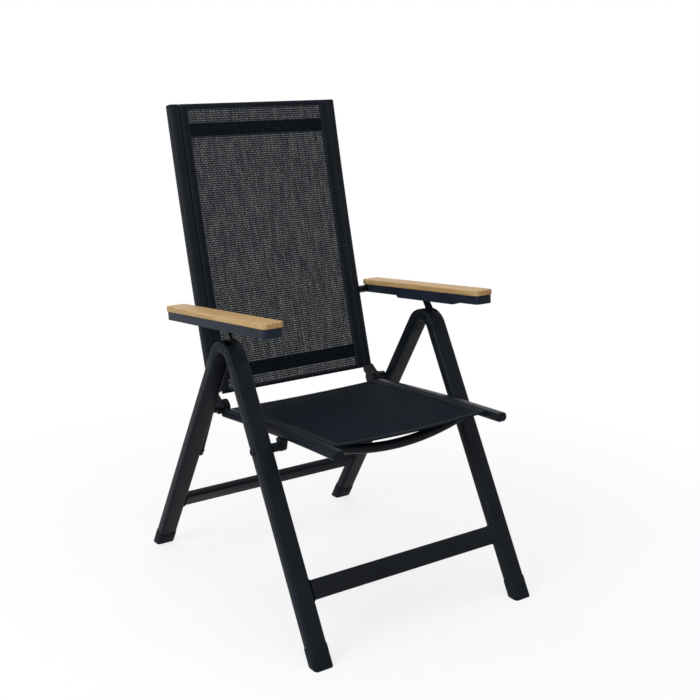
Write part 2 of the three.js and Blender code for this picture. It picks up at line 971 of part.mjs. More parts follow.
function backEar() {
  const half = backRailDepth / 2;
  const inward = backLine[1].clone().sub(backBottom).normalize();
  const rear = across(inward);
  const end = along(backBottom, inward, -fit);
  const outline = [
    along(end, rear, half),
    along(end, rear, -half),
    at(hingeY - hingeEarRadius, hingeZ + hingePlateEdge),
  ];
  const steps = roundSteps / 2;
  for (let i = 0; i <= steps; i++) {
    const turn = Math.PI * (1 + (backEarShare * i) / steps);
    outline.push(
      at(
        hingeY + hingeEarRadius * Math.cos(turn),
        hingeZ + hingeEarRadius * Math.sin(turn),
      ),
    );
  }
  outline.push(along(along(end, inward, -hingeEarRadius), rear, half));
  return cut(
    join(
      slab(outline, earSplit + fit / 2, railOuter),
      railEndPlug(backBottom, inward, backRailDepth),
    ),
    hingeHole,
  );
}
addPair("back_hinge", backEar(), mouldedFinish);

const stayOuter = legInner - stayGap;
const stayInner = stayOuter - stayThickness;
addPair(
  "hinge_knuckle",
  turned(hinge, [
    [railInner + wall, hingePinRadius],
    [railOuter + fit, hingePinRadius],
    [railOuter + fit, knuckleRadius],
    [stayInner - fit, knuckleRadius - wall],
    [stayInner - fit, hingePinRadius],
    [stayOuter + 1, hingePinRadius],
  ]),
  steelFinish,
);
const stayDirection = stayPivot.clone().sub(hinge).normalize();
addPair(
  "stay",
  cut(
    slab(
      lozenge(
        hinge,
        along(stayPivot, stayDirection, stayTail - stayWidth / 2),
        stayWidth / 2,
        stayWidth / 2 - 1,
      ),
      stayInner,
      stayOuter,
    ),
    rod(hinge, hingePinRadius + fit, railInner, legOuter),
    rod(stayPivot, stayPinRadius + fit, railInner, legOuter),
  ),
  steelFinish,
);
addPair(
  "stay_pin",
  turned(stayPivot, [
    [stayInner - fit - stayPinHead, stayPinRadius + stayPinHead],
    [stayInner - fit, stayPinRadius + stayPinHead],
    [stayInner - fit, stayPinRadius],
    [legInner - fit, stayPinRadius],
  ]),
  steelFinish,
);

// Back cross bars and sling
function backBar(z) {
  const middle = along(backLineAt(z), backRear, backBarSetback);
  const path = [-bowEnd, bowEnd].map(
    (x) => new THREE.Vector3(x, middle.x, middle.y),
  );
  const tall = new THREE.Vector3(0, backUp.x, backUp.y);
  return sweep(
    path,
    tall,
    ...tubeSections(backBarHeight, backBarDepth, barRounding),
  );
}
add("back_top_bar", backBar(backTopZ - backTopBarDrop), frameFinish());
add("back_bottom_bar", backBar(backBottomZ + backBottomBarRise), frameFinish());

const backSlingBottomZ = backBottomZ - backSlingDrop;
add(
  "back_sling",
  sheet(
    (u, v) => {
      const z =
        backSlingBottomZ + (backTopZ + backSlingTopRise - backSlingBottomZ) * v;
      const p = along(backLineAt(z), backRear, -backSlingLift);
      return new THREE.Vector3(slingHalf * (1 - 2 * u), p.x, p.y);
    },
    2,
    curveSteps,
    slingThickness,
    new THREE.Vector3(0, backRear.x, backRear.y),
  ),
  slingFinish(),
);

// Armrests
const armInner = armMiddle - channelWidth / 2;
const armOuter = armMiddle + channelWidth / 2;
addPair(
  "arm_hub",
  turned(armPivot, [
    [railInner + wall, armPivotRadius],
    [railOuter + fit, armPivotRadius],
    [railOuter + fit, armCollarRadius],
    [armInner - fit, armCollarRadius],
    [armInner - fit, armPivotRadius],
    [armOuter - channelWall - fit, armPivotRadius],
  ]),
  steelFinish,
);

// Armrest pieces are drawn lying level, rear end at the origin, then placed.
function placeArm(geometry) {
  return closed(
    geometry
      .rotateX(rad(-armRise))
      .translate(armMiddle, armRear.x, armRear.y),
  );
}
// A plan outline with cut corners, from rear distance to front distance.
function planOutline(width, from, to, corner) {
  const half = width / 2;
  return [
    at(-half, -from - corner),
    at(corner - half, -from),
    at(half - corner, -from),
    at(half, -from - corner),
    at(half, corner - to),
    at(half - corner, -to),
    at(corner - half, -to),
    at(-half, corner - to),
  ].reverse();
}
function plate(outline, bottom, top) {
  return closed(
    new THREE.ExtrudeGeometry(new THREE.Shape(outline), {
      depth: top - bottom,
      bevelEnabled: false,
    }).translate(0, 0, bottom),
  );
}

function slat() {
  const geometry = new THREE.ExtrudeGeometry(
    new THREE.Shape(
      planOutline(
        slatWidth - 2 * slatBevel,
        slatBevel,
        armLength - slatBevel,
        slatCorner - slatBevel,
      ),
    ),
    {
      depth: slatThickness - 2 * slatBevel,
      bevelEnabled: true,
      bevelSize: slatBevel,
      bevelThickness: slatBevel,
      bevelSegments: 2,
      curveSegments: 1,
    },
  ).translate(0, 0, slatBevel);
  return placeArm(geometry);
}
addPair("armrest_slat", slat(), woodFinish);

function channel() {
  const front = armLength - channelInset;
  const outer = plate(
    planOutline(channelWidth, channelInset, front, slatCorner),
    -fit - channelHeight,
    -fit,
  );
  const pocket = plate(
    planOutline(
      channelWidth - 2 * channelWall,
      channelInset + channelWall,
      front - channelWall,
      slatCorner,
    ),
    -channelHeight * 2,
    -fit - channelWall,
  );
  const edge = -fit - channelHeight;
  const skirtEnd = skirtSetback + skirtLength;
  const skirt = slab(
    [
      at(-skirtSetback, edge + channelWall),
      at(-skirtSetback, edge),
      at(-skirtSetback - skirtStep, edge - skirtDepth),
      at(skirtFade - skirtEnd, edge - skirtDepth),
      at(-skirtEnd, edge),
      at(-skirtEnd, edge + channelWall),
    ],
    -channelWidth / 2,
    channelWall - channelWidth / 2,
  );
  return cut(
    placeArm(join(cut(outer, pocket), skirt)),
    rod(
      armPivot,
      armPivotRadius + fit,
      armInner - wall,
      armOuter - channelWall - fit / 2,
    ),
  );
}
addPair("armrest_channel", channel(), channelFinish);

function rack() {
  // The tooth tips pass over the rack pin.
  const level = rad(armRise);
  const ahead = armRear.x - rackPin.x;
  const rise = rackPin.y - armRear.y;
  const pinBack = ahead * Math.cos(level) + rise * Math.sin(level);
  const pinUp = rise * Math.cos(level) - ahead * Math.sin(level);
  const tips = pinUp + rackPinRadius + rackLift;
  const top = -2 * fit - channelWall;
  const from = pinBack - rackEnd;
  const to = pinBack + rackPitch * (rackTeeth - 1) + rackEnd;
  const outline = [at(-to, top), at(-to, tips)];
  for (let i = rackTeeth - 1; i >= 0; i--) {
    const middle = pinBack + rackPitch * i;
    outline.push(
      at(-middle - rackPinRadius - toothDepth, tips),
      at(-middle - rackPinRadius, tips + toothDepth),
      at(-middle + rackPinRadius, tips + toothDepth),
      at(-middle + rackPinRadius + toothDepth, tips),
    );
  }
  outline.push(at(-from, tips), at(-from, top));
  const inner = armInner - armMiddle + channelWall + fit;
  return placeArm(slab(outline, inner, inner + rackWidth));
}
addPair("armrest_rack", rack(), steelFinish);

export default group;
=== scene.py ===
"""Looks of a folding patio armchair with a sling seat and back.

Sizes are in millimetres, as on a maker's drawing, and a mesh is turned to metres
when its piece is finished. X runs across the chair, +X to the sitter's left, the
chair faces -Y and +Z is up. Side-view points are two-number vectors (y, z).
"""

import json
import logging
import math
from dataclasses import dataclass, field
from enum import Enum
from functools import partial
from typing import Any, Callable, Iterable, Sequence

import bmesh
import bpy
from mathutils import Matrix, Vector


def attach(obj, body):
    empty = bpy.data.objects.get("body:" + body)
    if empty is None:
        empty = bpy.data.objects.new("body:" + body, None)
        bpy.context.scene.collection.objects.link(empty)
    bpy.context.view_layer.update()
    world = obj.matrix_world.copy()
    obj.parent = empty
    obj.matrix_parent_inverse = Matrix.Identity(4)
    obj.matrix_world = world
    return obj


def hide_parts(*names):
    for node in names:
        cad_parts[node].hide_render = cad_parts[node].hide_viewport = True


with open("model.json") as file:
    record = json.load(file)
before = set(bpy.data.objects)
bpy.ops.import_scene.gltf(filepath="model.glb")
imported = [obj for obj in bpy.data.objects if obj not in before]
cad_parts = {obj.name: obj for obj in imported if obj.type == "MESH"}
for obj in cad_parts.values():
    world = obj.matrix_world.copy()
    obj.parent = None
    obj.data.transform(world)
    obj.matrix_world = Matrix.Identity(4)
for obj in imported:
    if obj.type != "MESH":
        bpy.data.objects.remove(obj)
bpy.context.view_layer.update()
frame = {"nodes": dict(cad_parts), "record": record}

LOG = logging.getLogger("patio_chair")
MM = 0.001
# Room between a piece and the one that it is fitted to.
FIT = 0.3
ACROSS = Vector((1.0, 0.0, 0.0))
# Degrees that the armrests rise to the front.
ARM_RISE = 6.25

Shape = bmesh.types.BMesh
Tree = bpy.types.NodeTree
Node = bpy.types.Node
Socket = bpy.types.NodeSocket
Colour = tuple[float, float, float, float]
Adder = Callable[..., Socket]
Triple = tuple[float, float, float]
Pair = tuple[float, float]


class Side(Enum):
    """The side of the chair that a paired piece is on, as the sitter sees it."""

    LEFT = "left"
    RIGHT = "right"


class Slot(Enum):
    """The record's material slots."""

    TUBE = "frame_tube"
    CHANNEL = "armrest_channel"
    CASTING = "casting"
    MOULDED = "moulded_plastic"
    STEEL = "steel"
    WOOD = "wood"
    SLING = "sling_fabric"


# Materials


def linear(hex_colour: str) -> Colour:
    """Turns an sRGB hex colour into linear light with an alpha of 1."""
    shares = [int(hex_colour[i : i + 2], 16) / 255 for i in (1, 3, 5)]
    return (*(c / 12.92 if c <= 0.04045 else ((c + 0.055) / 1.055) ** 2.4 for c in shares), 1.0)


def wire(tree: Tree, node: Node, inputs: dict[Any, Any]) -> None:
    """Sets a node's inputs.

    Args:
        tree: The node tree.
        node: The node.
        inputs: A value, or another node's output, for each input's name or number.
    """
    for key, value in inputs.items():
        if isinstance(value, Socket):
            tree.links.new(value, node.inputs[key])
        else:
            node.inputs[key].default_value = value


def add_node(
    tree: Tree,
    kind: str,
    inputs: dict[Any, Any] | None = None,
    out: int | str = 0,
    stops: Sequence[tuple[float, str]] = (),
    **settings: Any,
) -> Socket:
    """Adds one node with its settings and links.

    Args:
        tree: The node tree.
        kind: The node's type, without the ShaderNode that every type starts with.
        inputs: What wire() sets.
        out: Name or number of the output that is wanted.
        stops: Places and hex colours of a colour ramp, two or more.
        settings: The node's own properties.

    Returns:
        That output.
    """
    node = tree.nodes.new("ShaderNode" + kind)
    for name, value in settings.items():
        setattr(node, name, value)
    wire(tree, node, inputs or {})
    if stops:
        elements = node.color_ramp.elements
        while len(elements) < len(stops):
            elements.new(1.0)
        for element, (place, colour) in zip(elements, stops):
            element.position = place
            element.color = linear(colour)
    return node.outputs[out]


def per(size_mm: float) -> float:
    """A texture's scale for a pattern that repeats in so many millimetres."""
    return 1 / (size_mm * MM)


def where_on(add: Adder, turn: float = 0.0, stretch: Sequence[float] = (1, 1, 1)) -> Socket:
    """Object coordinates, turned so many degrees about X and stretched along each axis."""
    turned = {"Rotation": (math.radians(turn), 0, 0), "Scale": stretch}
    return add("Mapping", {"Vector": add("TexCoord", out="Object"), **turned})


@dataclass(frozen=True)
class Finish:
    """A surface finish. Its material is made once and shared.

    Attributes:
        name: The finish's name, which is its material's too.
        slot: The record's slot that it belongs to.
    """

    name: str
    slot: Slot

    def material(self) -> bpy.types.Material:
        """Makes the material, or returns the one already made.

        Returns:
            The material.
        """
        known = bpy.data.materials.get(self.name)
        if known:
            return known
        material = bpy.data.materials.new(self.name)
        material.use_nodes = True
        tree = material.node_tree
        wire(tree, tree.nodes["Principled BSDF"], self.dress(partial(add_node, tree)))
        return material

    def dress(self, add: Adder) -> dict[str, Any]:
        """Adds the finish's nodes.

        Args:
            add: Adds a node to the material's tree.

        Returns:
            What goes into the material's shader, a Principled BSDF.
        """
        raise NotImplementedError


@dataclass(frozen=True)
class PowderCoat(Finish):
    """Polyester powder coat, sprayed dry and baked on aluminium or steel.

    It gives an even satin surface with the fine swell of baked powder, and a
    slightly lighter bloom where the coat is thin. The lacquer is a dielectric.
    """

    colour: str
    bloom: str
    roughness: float = 0.42
    swell_mm: float = 1.4

    def dress(self, add: Adder) -> dict[str, Any]:
        """Adds the coat's colour drift, gloss drift and swell.

        Args:
            add: Adds a node to the material's tree.

        Returns:
            What goes into the material's shader.
        """
        where = where_on(add)
        drift = add("TexNoise", {"Vector": where, "Scale": per(90), "Detail": 3.0})
        tones = [(0.35, self.colour), (0.72, self.bloom)]
        least, most = self.roughness - 0.05, self.roughness + 0.06
        gloss = {"From Min": 0.3, "From Max": 0.7, "To Min": least, "To Max": most}
        # Baked powder swells every millimetre or so. 1.4 mm is coarse enough to show.
        fine = {"Vector": where, "Scale": per(self.swell_mm), "Detail": 2.0}
        swell = add("TexNoise", fine)
        relief = {"Height": swell, "Distance": 0.012 * MM, "Strength": 0.6}
        return {
            "Base Color": add("ValToRGB", {"Fac": drift}, stops=tones),
            "Roughness": add("MapRange", {"Value": drift, **gloss}),
            "Normal": add("Bump", relief),
            "Specular IOR Level": 0.085,
        }


@dataclass(frozen=True)
class MouldedNylon(Finish):
    """Glass-filled nylon, injection moulded in a spark-eroded tool.

    The tool's fine pits leave a matt, slightly grainy black skin.
    """

    colour: str
    worn: str

    def dress(self, add: Adder) -> dict[str, Any]:
        """Adds the tool's grain and a faint drift of tone.

        Args:
            add: Adds a node to the material's tree.

        Returns:
            What goes into the material's shader.
        """
        where = where_on(add)
        pits = {"Vector": where, "Scale": per(0.9)}
        grain = add("TexVoronoi", pits, feature="SMOOTH_F1")
        drift = add("TexNoise", {"Vector": where, "Scale": per(35), "Detail": 4.0})
        tones = [(0.35, self.colour), (0.75, self.worn)]
        matt = {"Value": grain, "To Min": 0.5, "To Max": 0.66}
        return {
            "Base Color": add("ValToRGB", {"Fac": drift}, stops=tones),
            "Roughness": add("MapRange", matt),
            "Normal": add("Bump", {"Height": grain, "Distance": 0.02 * MM}),
            "IOR": 1.53,
            "Specular IOR Level": 0.07,
        }


@dataclass(frozen=True)
class BlackZinc(Finish):
    """Steel, barrel plated in zinc and passivated black.

    A thin dark metal film with faint rolling marks along the piece.
    """

    colour: str
    sheen: str

    def dress(self, add: Adder) -> dict[str, Any]:
        """Adds the film's mottling and rolling marks.

        Args:
            add: Adds a node to the material's tree.

        Returns:
            What goes into the material's shader.
        """
        where = where_on(add, stretch=(1.0, 0.25, 0.25))
        marks = add("TexNoise", {"Vector": where, "Scale": per(1.2), "Detail": 3.0})
        film = add("TexNoise", {"Vector": where, "Scale": per(14), "Detail": 4.0})
        tones = [(0.3, self.colour), (0.75, self.sheen)]
        gloss = {"Value": marks, "To Min": 0.34, "To Max": 0.52}
        relief = {"Height": marks, "Distance": 0.01 * MM, "Strength": 0.5}
        return {
            "Base Color": add("ValToRGB", {"Fac": film}, stops=tones),
            "Roughness": add("MapRange", gloss),
            "Normal": add("Bump", relief),
            "Metallic": 1.0,
        }


@dataclass(frozen=True)
class OiledAcacia(Finish):
    """Acacia, planed along the grain, sanded and oiled.

    Honey brown, with wavering growth bands, fine open pores that run with the
    grain, and a soft oil sheen that is duller in the pores.
    """

    early: str
    late: str
    pore: str
    rise: float

    def dress(self, add: Adder) -> dict[str, Any]:
        """Adds growth bands, fibres and pores along the slat.

        Args:
            add: Adds a node to the material's tree.

        Returns:
            What goes into the material's shader.
        """
        along = where_on(add, self.rise, (1.0, 0.09, 1.0))
        warp = add("TexNoise", {"Vector": along, "Scale": per(22), "Detail": 2.0})
        wavering = {
            "Vector": along,
            # One band every 9 mm across the slat. A wave of scale 1 repeats in pi / 10.
            "Scale": math.pi / 10 * per(9),
            "Distortion": 5.5,
            "Detail": 3.0,
            "Detail Scale": 1.3,
            "Detail Roughness": 0.6,
        }
        bands = add("TexWave", wavering, "Fac", bands_direction="X")
        strands = {"Vector": where_on(add, self.rise, (1.0, 0.03, 1.0)), "Scale": per(1.1)}
        fibre = add("TexNoise", {**strands, "Detail": 4.0, "Roughness": 0.6})
        tones = [(0.2, self.late), (0.5, self.early), (0.85, self.early)]
        mixed = add("Mix", {0: 0.45, 2: bands, 3: warp})
        grown = add("ValToRGB", {"Fac": mixed}, stops=tones)
        open_pores = {"From Min": 0.36, "From Max": 0.56, "To Min": 0.5, "To Max": 0.0}
        pores = add("MapRange", {"Value": fibre, **open_pores})
        pored = {0: pores, 6: grown, 7: linear(self.pore)}
        sheen = {"Value": fibre, "To Min": 0.62, "To Max": 0.48}
        relief = {"Height": fibre, "Distance": 0.05 * MM, "Strength": 0.45}
        return {
            "Base Color": add("Mix", pored, 2, data_type="RGBA"),
            "Roughness": add("MapRange", sheen),
            "Normal": add("Bump", relief),
            "Specular IOR Level": 0.25,
        }


@dataclass(frozen=True)
class SlingMesh(Finish):
    """Outdoor sling cloth: polyester threads sheathed in vinyl, woven open.

    The sheathed threads are near black with a dull sheen. Light comes through the
    small gaps between them, in short dashes row by row, and faint slanting streaks
    come from threads that lie a little closer or wider. The dashes are also painted
    a shade lighter than the threads, as painted light through the gaps.
    """

    thread: str
    rib_tone_and_painted_gap_light: str
    clear: float
    row_mm: float = 5.2
    dash_mm: float = 9.6
    least_clear: float = 0.03

    def dress(self, add: Adder) -> dict[str, Any]:
        """Adds the weave's gaps, painted light at the gaps, streaks and thread relief, on UVs in
        millimetres.

        Args:
            add: Adds a node to the material's tree.

        Returns:
            What goes into the material's shader.
        """
        where = add("TexCoord", out="UV")
        # The real gaps are about 2 mm apart. Rows of 5.2 mm are the finest that show.
        # X is stretched twofold, so that the gaps between dashes are half as wide.
        weave = {
            "Vector": add("Mapping", {"Vector": where, "Scale": (2, 1, 1)}),
            "Scale": 1.0,
            "Mortar Size": 1.45,
            "Mortar Smooth": 0.5,
            "Brick Width": 2 * self.dash_mm,
            "Row Height": self.row_mm,
        }
        rows = add("TexBrick", weave, "Fac", offset=0.37, offset_frequency=2)
        slant = {"Rotation": (0, 0, math.radians(30)), "Scale": (1 / 13, 1 / 60, 1)}
        slanted = add("Mapping", {"Vector": where, **slant})
        thin = {"Vector": slanted, "Scale": 1.0, "Detail": 2.0, "Roughness": 0.6}
        short = add("Mapping", {"Vector": where, "Scale": (1 / 7, 1 / 4, 1)})
        streaks = add("TexNoise", thin)
        flecks = add("TexNoise", {"Vector": short, "Scale": 1.0, "Detail": 1.0})
        both = add("Mix", {0: 0.5, 2: streaks, 3: flecks})
        uneven = {"From Min": 0.36, "From Max": 0.64, "To Min": 0.65, "To Max": 1.3}
        strength = add("MapRange", {"Value": both, **uneven})
        least = min(self.least_clear, self.clear)
        opened = {"From Min": 1.0, "From Max": 0.0, "To Min": least, "To Max": self.clear}
        gap = add("MapRange", {"Value": rows, **opened})
        clear = add("Math", {0: gap, 1: strength}, operation="MULTIPLY")
        # The dashes, where the gaps are, get the lighter colour: painted light through the gaps.
        tones = {0: rows, 6: linear(self.rib_tone_and_painted_gap_light), 7: linear(self.thread)}
        relief = {"Height": rows, "Distance": 0.12 * MM, "Strength": 0.4}
        return {
            "Base Color": add("Mix", tones, 2, data_type="RGBA"),
            "Alpha": add("Math", {0: 1.0, 1: clear}, operation="SUBTRACT"),
            "Normal": add("Bump", relief),
            "Roughness": 0.75,
            "Specular IOR Level": 0.035,
        }


@dataclass(frozen=True)
class HemCloth(Finish):
    """The same sling cloth folded over and sewn, so no light comes through.

    Two layers give a denser, darker band with a fine diagonal of crossing threads.
    """

    thread: str
    rib_tone_and_painted_gap_light: str
    rib_mm: float = 2.2

    def dress(self, add: Adder) -> dict[str, Any]:
        """Adds the ribs of the two layers, on UVs in millimetres.

        Args:
            add: Adds a node to the material's tree.

        Returns:
            What goes into the material's shader.
        """
        where = add("TexCoord", out="UV")
        crossing = {
            "Vector": where,
            "Scale": 1.0,
            "Mortar Size": 0.3,
            "Mortar Smooth": 0.8,
            "Brick Width": self.rib_mm * 1.6,
            "Row Height": self.rib_mm,
        }
        ribs = add("TexBrick", crossing, "Fac", offset=0.5, offset_frequency=2)
        drift = add("TexNoise", {"Vector": where, "Scale": 1 / 9, "Detail": 4.0})
        tone = add("Mix", {0: 0.5, 2: ribs, 3: drift})
        tones = [(0.2, self.rib_tone_and_painted_gap_light), (0.6, self.thread)]
        relief = {"Height": ribs, "Distance": 0.1 * MM, "Strength": 0.35}
        return {
            "Base Color": add("ValToRGB", {"Fac": tone}, stops=tones),
            "Normal": add("Bump", relief, invert=True),
            "Roughness": 0.78,
            "Specular IOR Level": 0.07,
        }


@dataclass(frozen=True)
class SewingThread(Finish):
    """Bonded polyester thread, twisted from three plies, slightly glossy."""

    colour: str
    ply: str

    def dress(self, add: Adder) -> dict[str, Any]:
        """Adds the slant of the plies.

        Args:
            add: Adds a node to the material's tree.

        Returns:
            What goes into the material's shader.
        """
        twist = {"Vector": where_on(add), "Scale": per(0.8), "Detail": 2.0}
        plies = add("TexNoise", twist)
        tones = [(0.4, self.ply), (0.6, self.colour)]
        return {
            "Base Color": add("ValToRGB", {"Fac": plies}, stops=tones),
            "Roughness": 0.5,
        }


TUBE_COAT = PowderCoat("satin_powder_coat_black", Slot.TUBE, "#101419", "#151920")
CHANNEL_COAT = PowderCoat("satin_powder_coat_slate", Slot.CHANNEL, "#1a1f28", "#222935", 0.38)
HINGE_COAT = PowderCoat("satin_powder_coat_casting", Slot.CASTING, "#0d1013", "#13161a", 0.5, 1.8)
NYLON = MouldedNylon("moulded_nylon_black", Slot.MOULDED, "#101419", "#151920")
ZINC = BlackZinc("black_zinc_steel", Slot.STEEL, "#17191d", "#24272d")
ACACIA = OiledAcacia("oiled_acacia", Slot.WOOD, "#bf9c6b", "#ab875a", "#8d6a42", -ARM_RISE)
MESH_CLOTH = SlingMesh("woven_sling_mesh", Slot.SLING, "#12161d", "#151a21", 0.31)
# Seen slantwise, the seat's threads cover its gaps. The seat's threads are also painted darker than the
# back's, as painted shade.
SHADED_SEAT_CLOTH = SlingMesh("woven_sling_mesh_slant_shaded", Slot.SLING, "#0b1017", "#10151d", 0.02)
HEM = HemCloth("sewn_sling_hem", Slot.SLING, "#12161d", "#171b23")
THREAD = SewingThread("bonded_sewing_thread", Slot.SLING, "#24272c", "#15171b")
FINISHES = {f.slot: f for f in (TUBE_COAT, CHANNEL_COAT, HINGE_COAT, NYLON, ZINC, ACACIA, MESH_CLOTH)}


# Side-view geometry


def point(y: float, z: float) -> Any:
    """A dataclass field that holds a side-view point."""
    return field(default_factory=lambda: Vector((y, z)))


def lean(degrees: float) -> Vector:
    """The side-view direction that leans so many degrees from upright."""
    turn = math.radians(degrees)
    return Vector((math.sin(turn), math.cos(turn)))


def behind(direction: Vector) -> Vector:
    """The side-view direction a quarter turn clockwise of this one."""
    return Vector((direction.y, -direction.x))


def bowed(start: Vector, end: Vector, bow: float) -> list[Vector]:
    """Points of a shallow arc that bows to the left of its direction.

    Args:
        start: First side-view point.
        end: Last side-view point.
        bow: Rise of the middle over the chord.

    Returns:
        The points, ends included.
    """
    steps = 20
    chord = end - start
    rise = behind(chord.normalized()) * -bow
    shares = [i / steps for i in range(steps + 1)]
    return [start + chord * t + rise * (4 * t * (1 - t)) for t in shares]


def at(x: float, side_view: Vector) -> Vector:
    """A side-view point or direction, set at a distance across the chair."""
    return Vector((x, side_view.x, side_view.y))


def in_space(x: float, points: Iterable[Vector]) -> list[Vector]:
    """Side-view points set at one distance across the chair."""
    return [at(x, p) for p in points]


# Shaping with bmesh operators


def corners_of(geom: Iterable[Any]) -> list[bmesh.types.BMVert]:
    """The vertices among what an operator made."""
    return [g for g in geom if isinstance(g, bmesh.types.BMVert)]


def round_over(bm: Shape, geom: list[Any], radius: float, segments: int, affect: str = "EDGES") -> None:
    """Rounds edges or corners with the bevel operator.

    Args:
        bm: The mesh.
        geom: Its edges or vertices to round.
        radius: How far the rounding reaches from them.
        segments: Steps across it.
        affect: EDGES or VERTICES.
    """
    bmesh.ops.bevel(
        bm, geom=geom, offset=radius, offset_type="OFFSET", affect=affect,
        segments=segments, profile=0.5, material=-1,
    )


def stations(path: Sequence[Vector], side: Vector, scales: Sequence[Pair] = ()) -> list[Matrix]:
    """Places of a section along a flat path, mitred at the bends.

    Args:
        path: The points that the section's middle follows.
        side: The path plane's normal, which is the section's local X.
        scales: A width and a height factor for each point, 1 where not given.

    Returns:
        One matrix for each point.
    """
    found = []
    for i, spot in enumerate(path):
        back = (spot - path[i - 1]).normalized() if i else None
        ahead = (path[i + 1] - spot).normalized() if i < len(path) - 1 else None
        tangent = (back or ahead).copy()
        stretch = 1.0
        if back and ahead:
            tangent = (back + ahead).normalized()
            stretch = 1 / tangent.dot(back)
        up = side.cross(tangent).normalized()
        wide, tall = scales[i] if i < len(scales) else (1.0, 1.0)
        basis = Matrix((side * wide, up * (stretch * tall), tangent)).transposed().to_4x4()
        found.append(Matrix.Translation(spot) @ basis)
    return found


def bar(
    path: Sequence[Vector],
    side: Vector,
    width: float,
    height: float,
    rounding: float,
    scales: Sequence[Pair] = (),
    segments: int = 5,
) -> Shape:
    """A closed bar of rounded section along a path.

    Args:
        path: Points of its middle line.
        side: The path plane's normal.
        width: Along side.
        height: Across the path in its plane.
        rounding: Corner radius, or half the width for a round bar.
        scales: Section factors by point.
        segments: Edges in each corner.

    Returns:
        The new mesh, its faces turned outwards.
    """
    bm = bmesh.new()
    if rounding * 2 >= width:
        bmesh.ops.create_circle(bm, cap_ends=True, segments=28, radius=width / 2)
    else:
        corners = bmesh.ops.create_grid(bm, x_segments=1, y_segments=1, size=0.5)["verts"]
        bmesh.ops.scale(bm, vec=(width, height, 1.0), verts=corners)
        round_over(bm, corners, rounding, segments, "VERTICES")
    places = stations(path, side, scales)
    bmesh.ops.transform(bm, matrix=places[0], verts=bm.verts)
    face = next(iter(bm.faces))
    for number, (here, there) in enumerate(zip(places, places[1:])):
        made = bmesh.ops.extrude_face_region(bm, geom=[face])["geom"]
        if number:
            bmesh.ops.delete(bm, geom=[face], context="FACES_ONLY")
        bmesh.ops.transform(bm, matrix=there @ here.inverted(), verts=corners_of(made))
        face = next(g for g in made if isinstance(g, bmesh.types.BMFace))
    bmesh.ops.recalc_face_normals(bm, faces=bm.faces)
    return bm


def spun(profile: Sequence[Pair]) -> Shape:
    """A turned piece about the X axis.

    Args:
        profile: Distance across the chair and radius, from end to end.

    Returns:
        The new mesh.
    """
    bm = bmesh.new()
    verts = [bm.verts.new((x, 0.0, r)) for x, r in profile]
    edges = [bm.edges.new(pair) for pair in zip(verts, verts[1:])]
    bmesh.ops.spin(
        bm, geom=verts + edges, cent=(0, 0, 0), axis=(1, 0, 0),
        angle=2 * math.pi, steps=32, use_merge=True,
    )
    bmesh.ops.remove_doubles(bm, verts=bm.verts, dist=0.002)
    return bm


def copy_of(node: str) -> Shape:
    """A merged copy of a CAD node in millimetres, with flat areas made one face each.

    Args:
        node: The node's name.

    Returns:
        The new mesh. The node itself is left alone.
    """
    bm = bmesh.new()
    bm.from_mesh(frame["nodes"][node].data)
    bmesh.ops.scale(bm, vec=(1 / MM,) * 3, verts=bm.verts)
    bmesh.ops.remove_doubles(bm, verts=bm.verts, dist=0.004)
    flat = math.radians(0.8)
    bmesh.ops.dissolve_limit(bm, angle_limit=flat, verts=bm.verts, edges=bm.edges, delimit=set())
    return bm


def merged(*parts: Shape) -> Shape:
    """Puts several meshes into one.

    Args:
        parts: The meshes. They are freed.

    Returns:
        The new mesh.
    """
    whole = bmesh.new()
    for part in parts:
        carrier = bpy.data.meshes.new("carrier")
        part.to_mesh(carrier)
        part.free()
        whole.from_mesh(carrier)
        bpy.data.meshes.remove(carrier)
    return whole


def sink(bm: Shape, along: Vector, wall: float, depth: float) -> None:
    """Sinks a pocket into the flat face that lies furthest along a direction.

    Args:
        bm: The mesh, its faces turned outwards.
        along: The direction, one long.
        wall: What is left standing round the pocket.
        depth: How deep it goes.
    """
    bm.normal_update()
    face = max((f.calc_center_median().dot(along), f.index, f) for f in bm.faces)[2]
    bmesh.ops.inset_region(bm, faces=[face], thickness=wall, use_even_offset=True)
    bmesh.ops.translate(bm, vec=-along * depth, verts=face.verts)


def put(name: str, data: Any) -> bpy.types.Object:
    """Puts a new object into the scene.

    Args:
        name: The object's name.
        data: The mesh, lamp or camera.

    Returns:
        The object.
    """
    made = bpy.data.objects.new(name, data)
    bpy.context.scene.collection.objects.link(made)
    return made


def mesh_of(bm: Shape, name: str, material: bpy.types.Material) -> bpy.types.Mesh:
    """Turns a bmesh into a mesh of one material.

    Args:
        bm: The bmesh, in metres. It is freed.
        name: The mesh's name.
        material: Its material.

    Returns:
        The mesh.
    """
    mesh = bpy.data.meshes.new(name)
    bm.to_mesh(mesh)
    bm.free()
    mesh.materials.append(material)
    return mesh


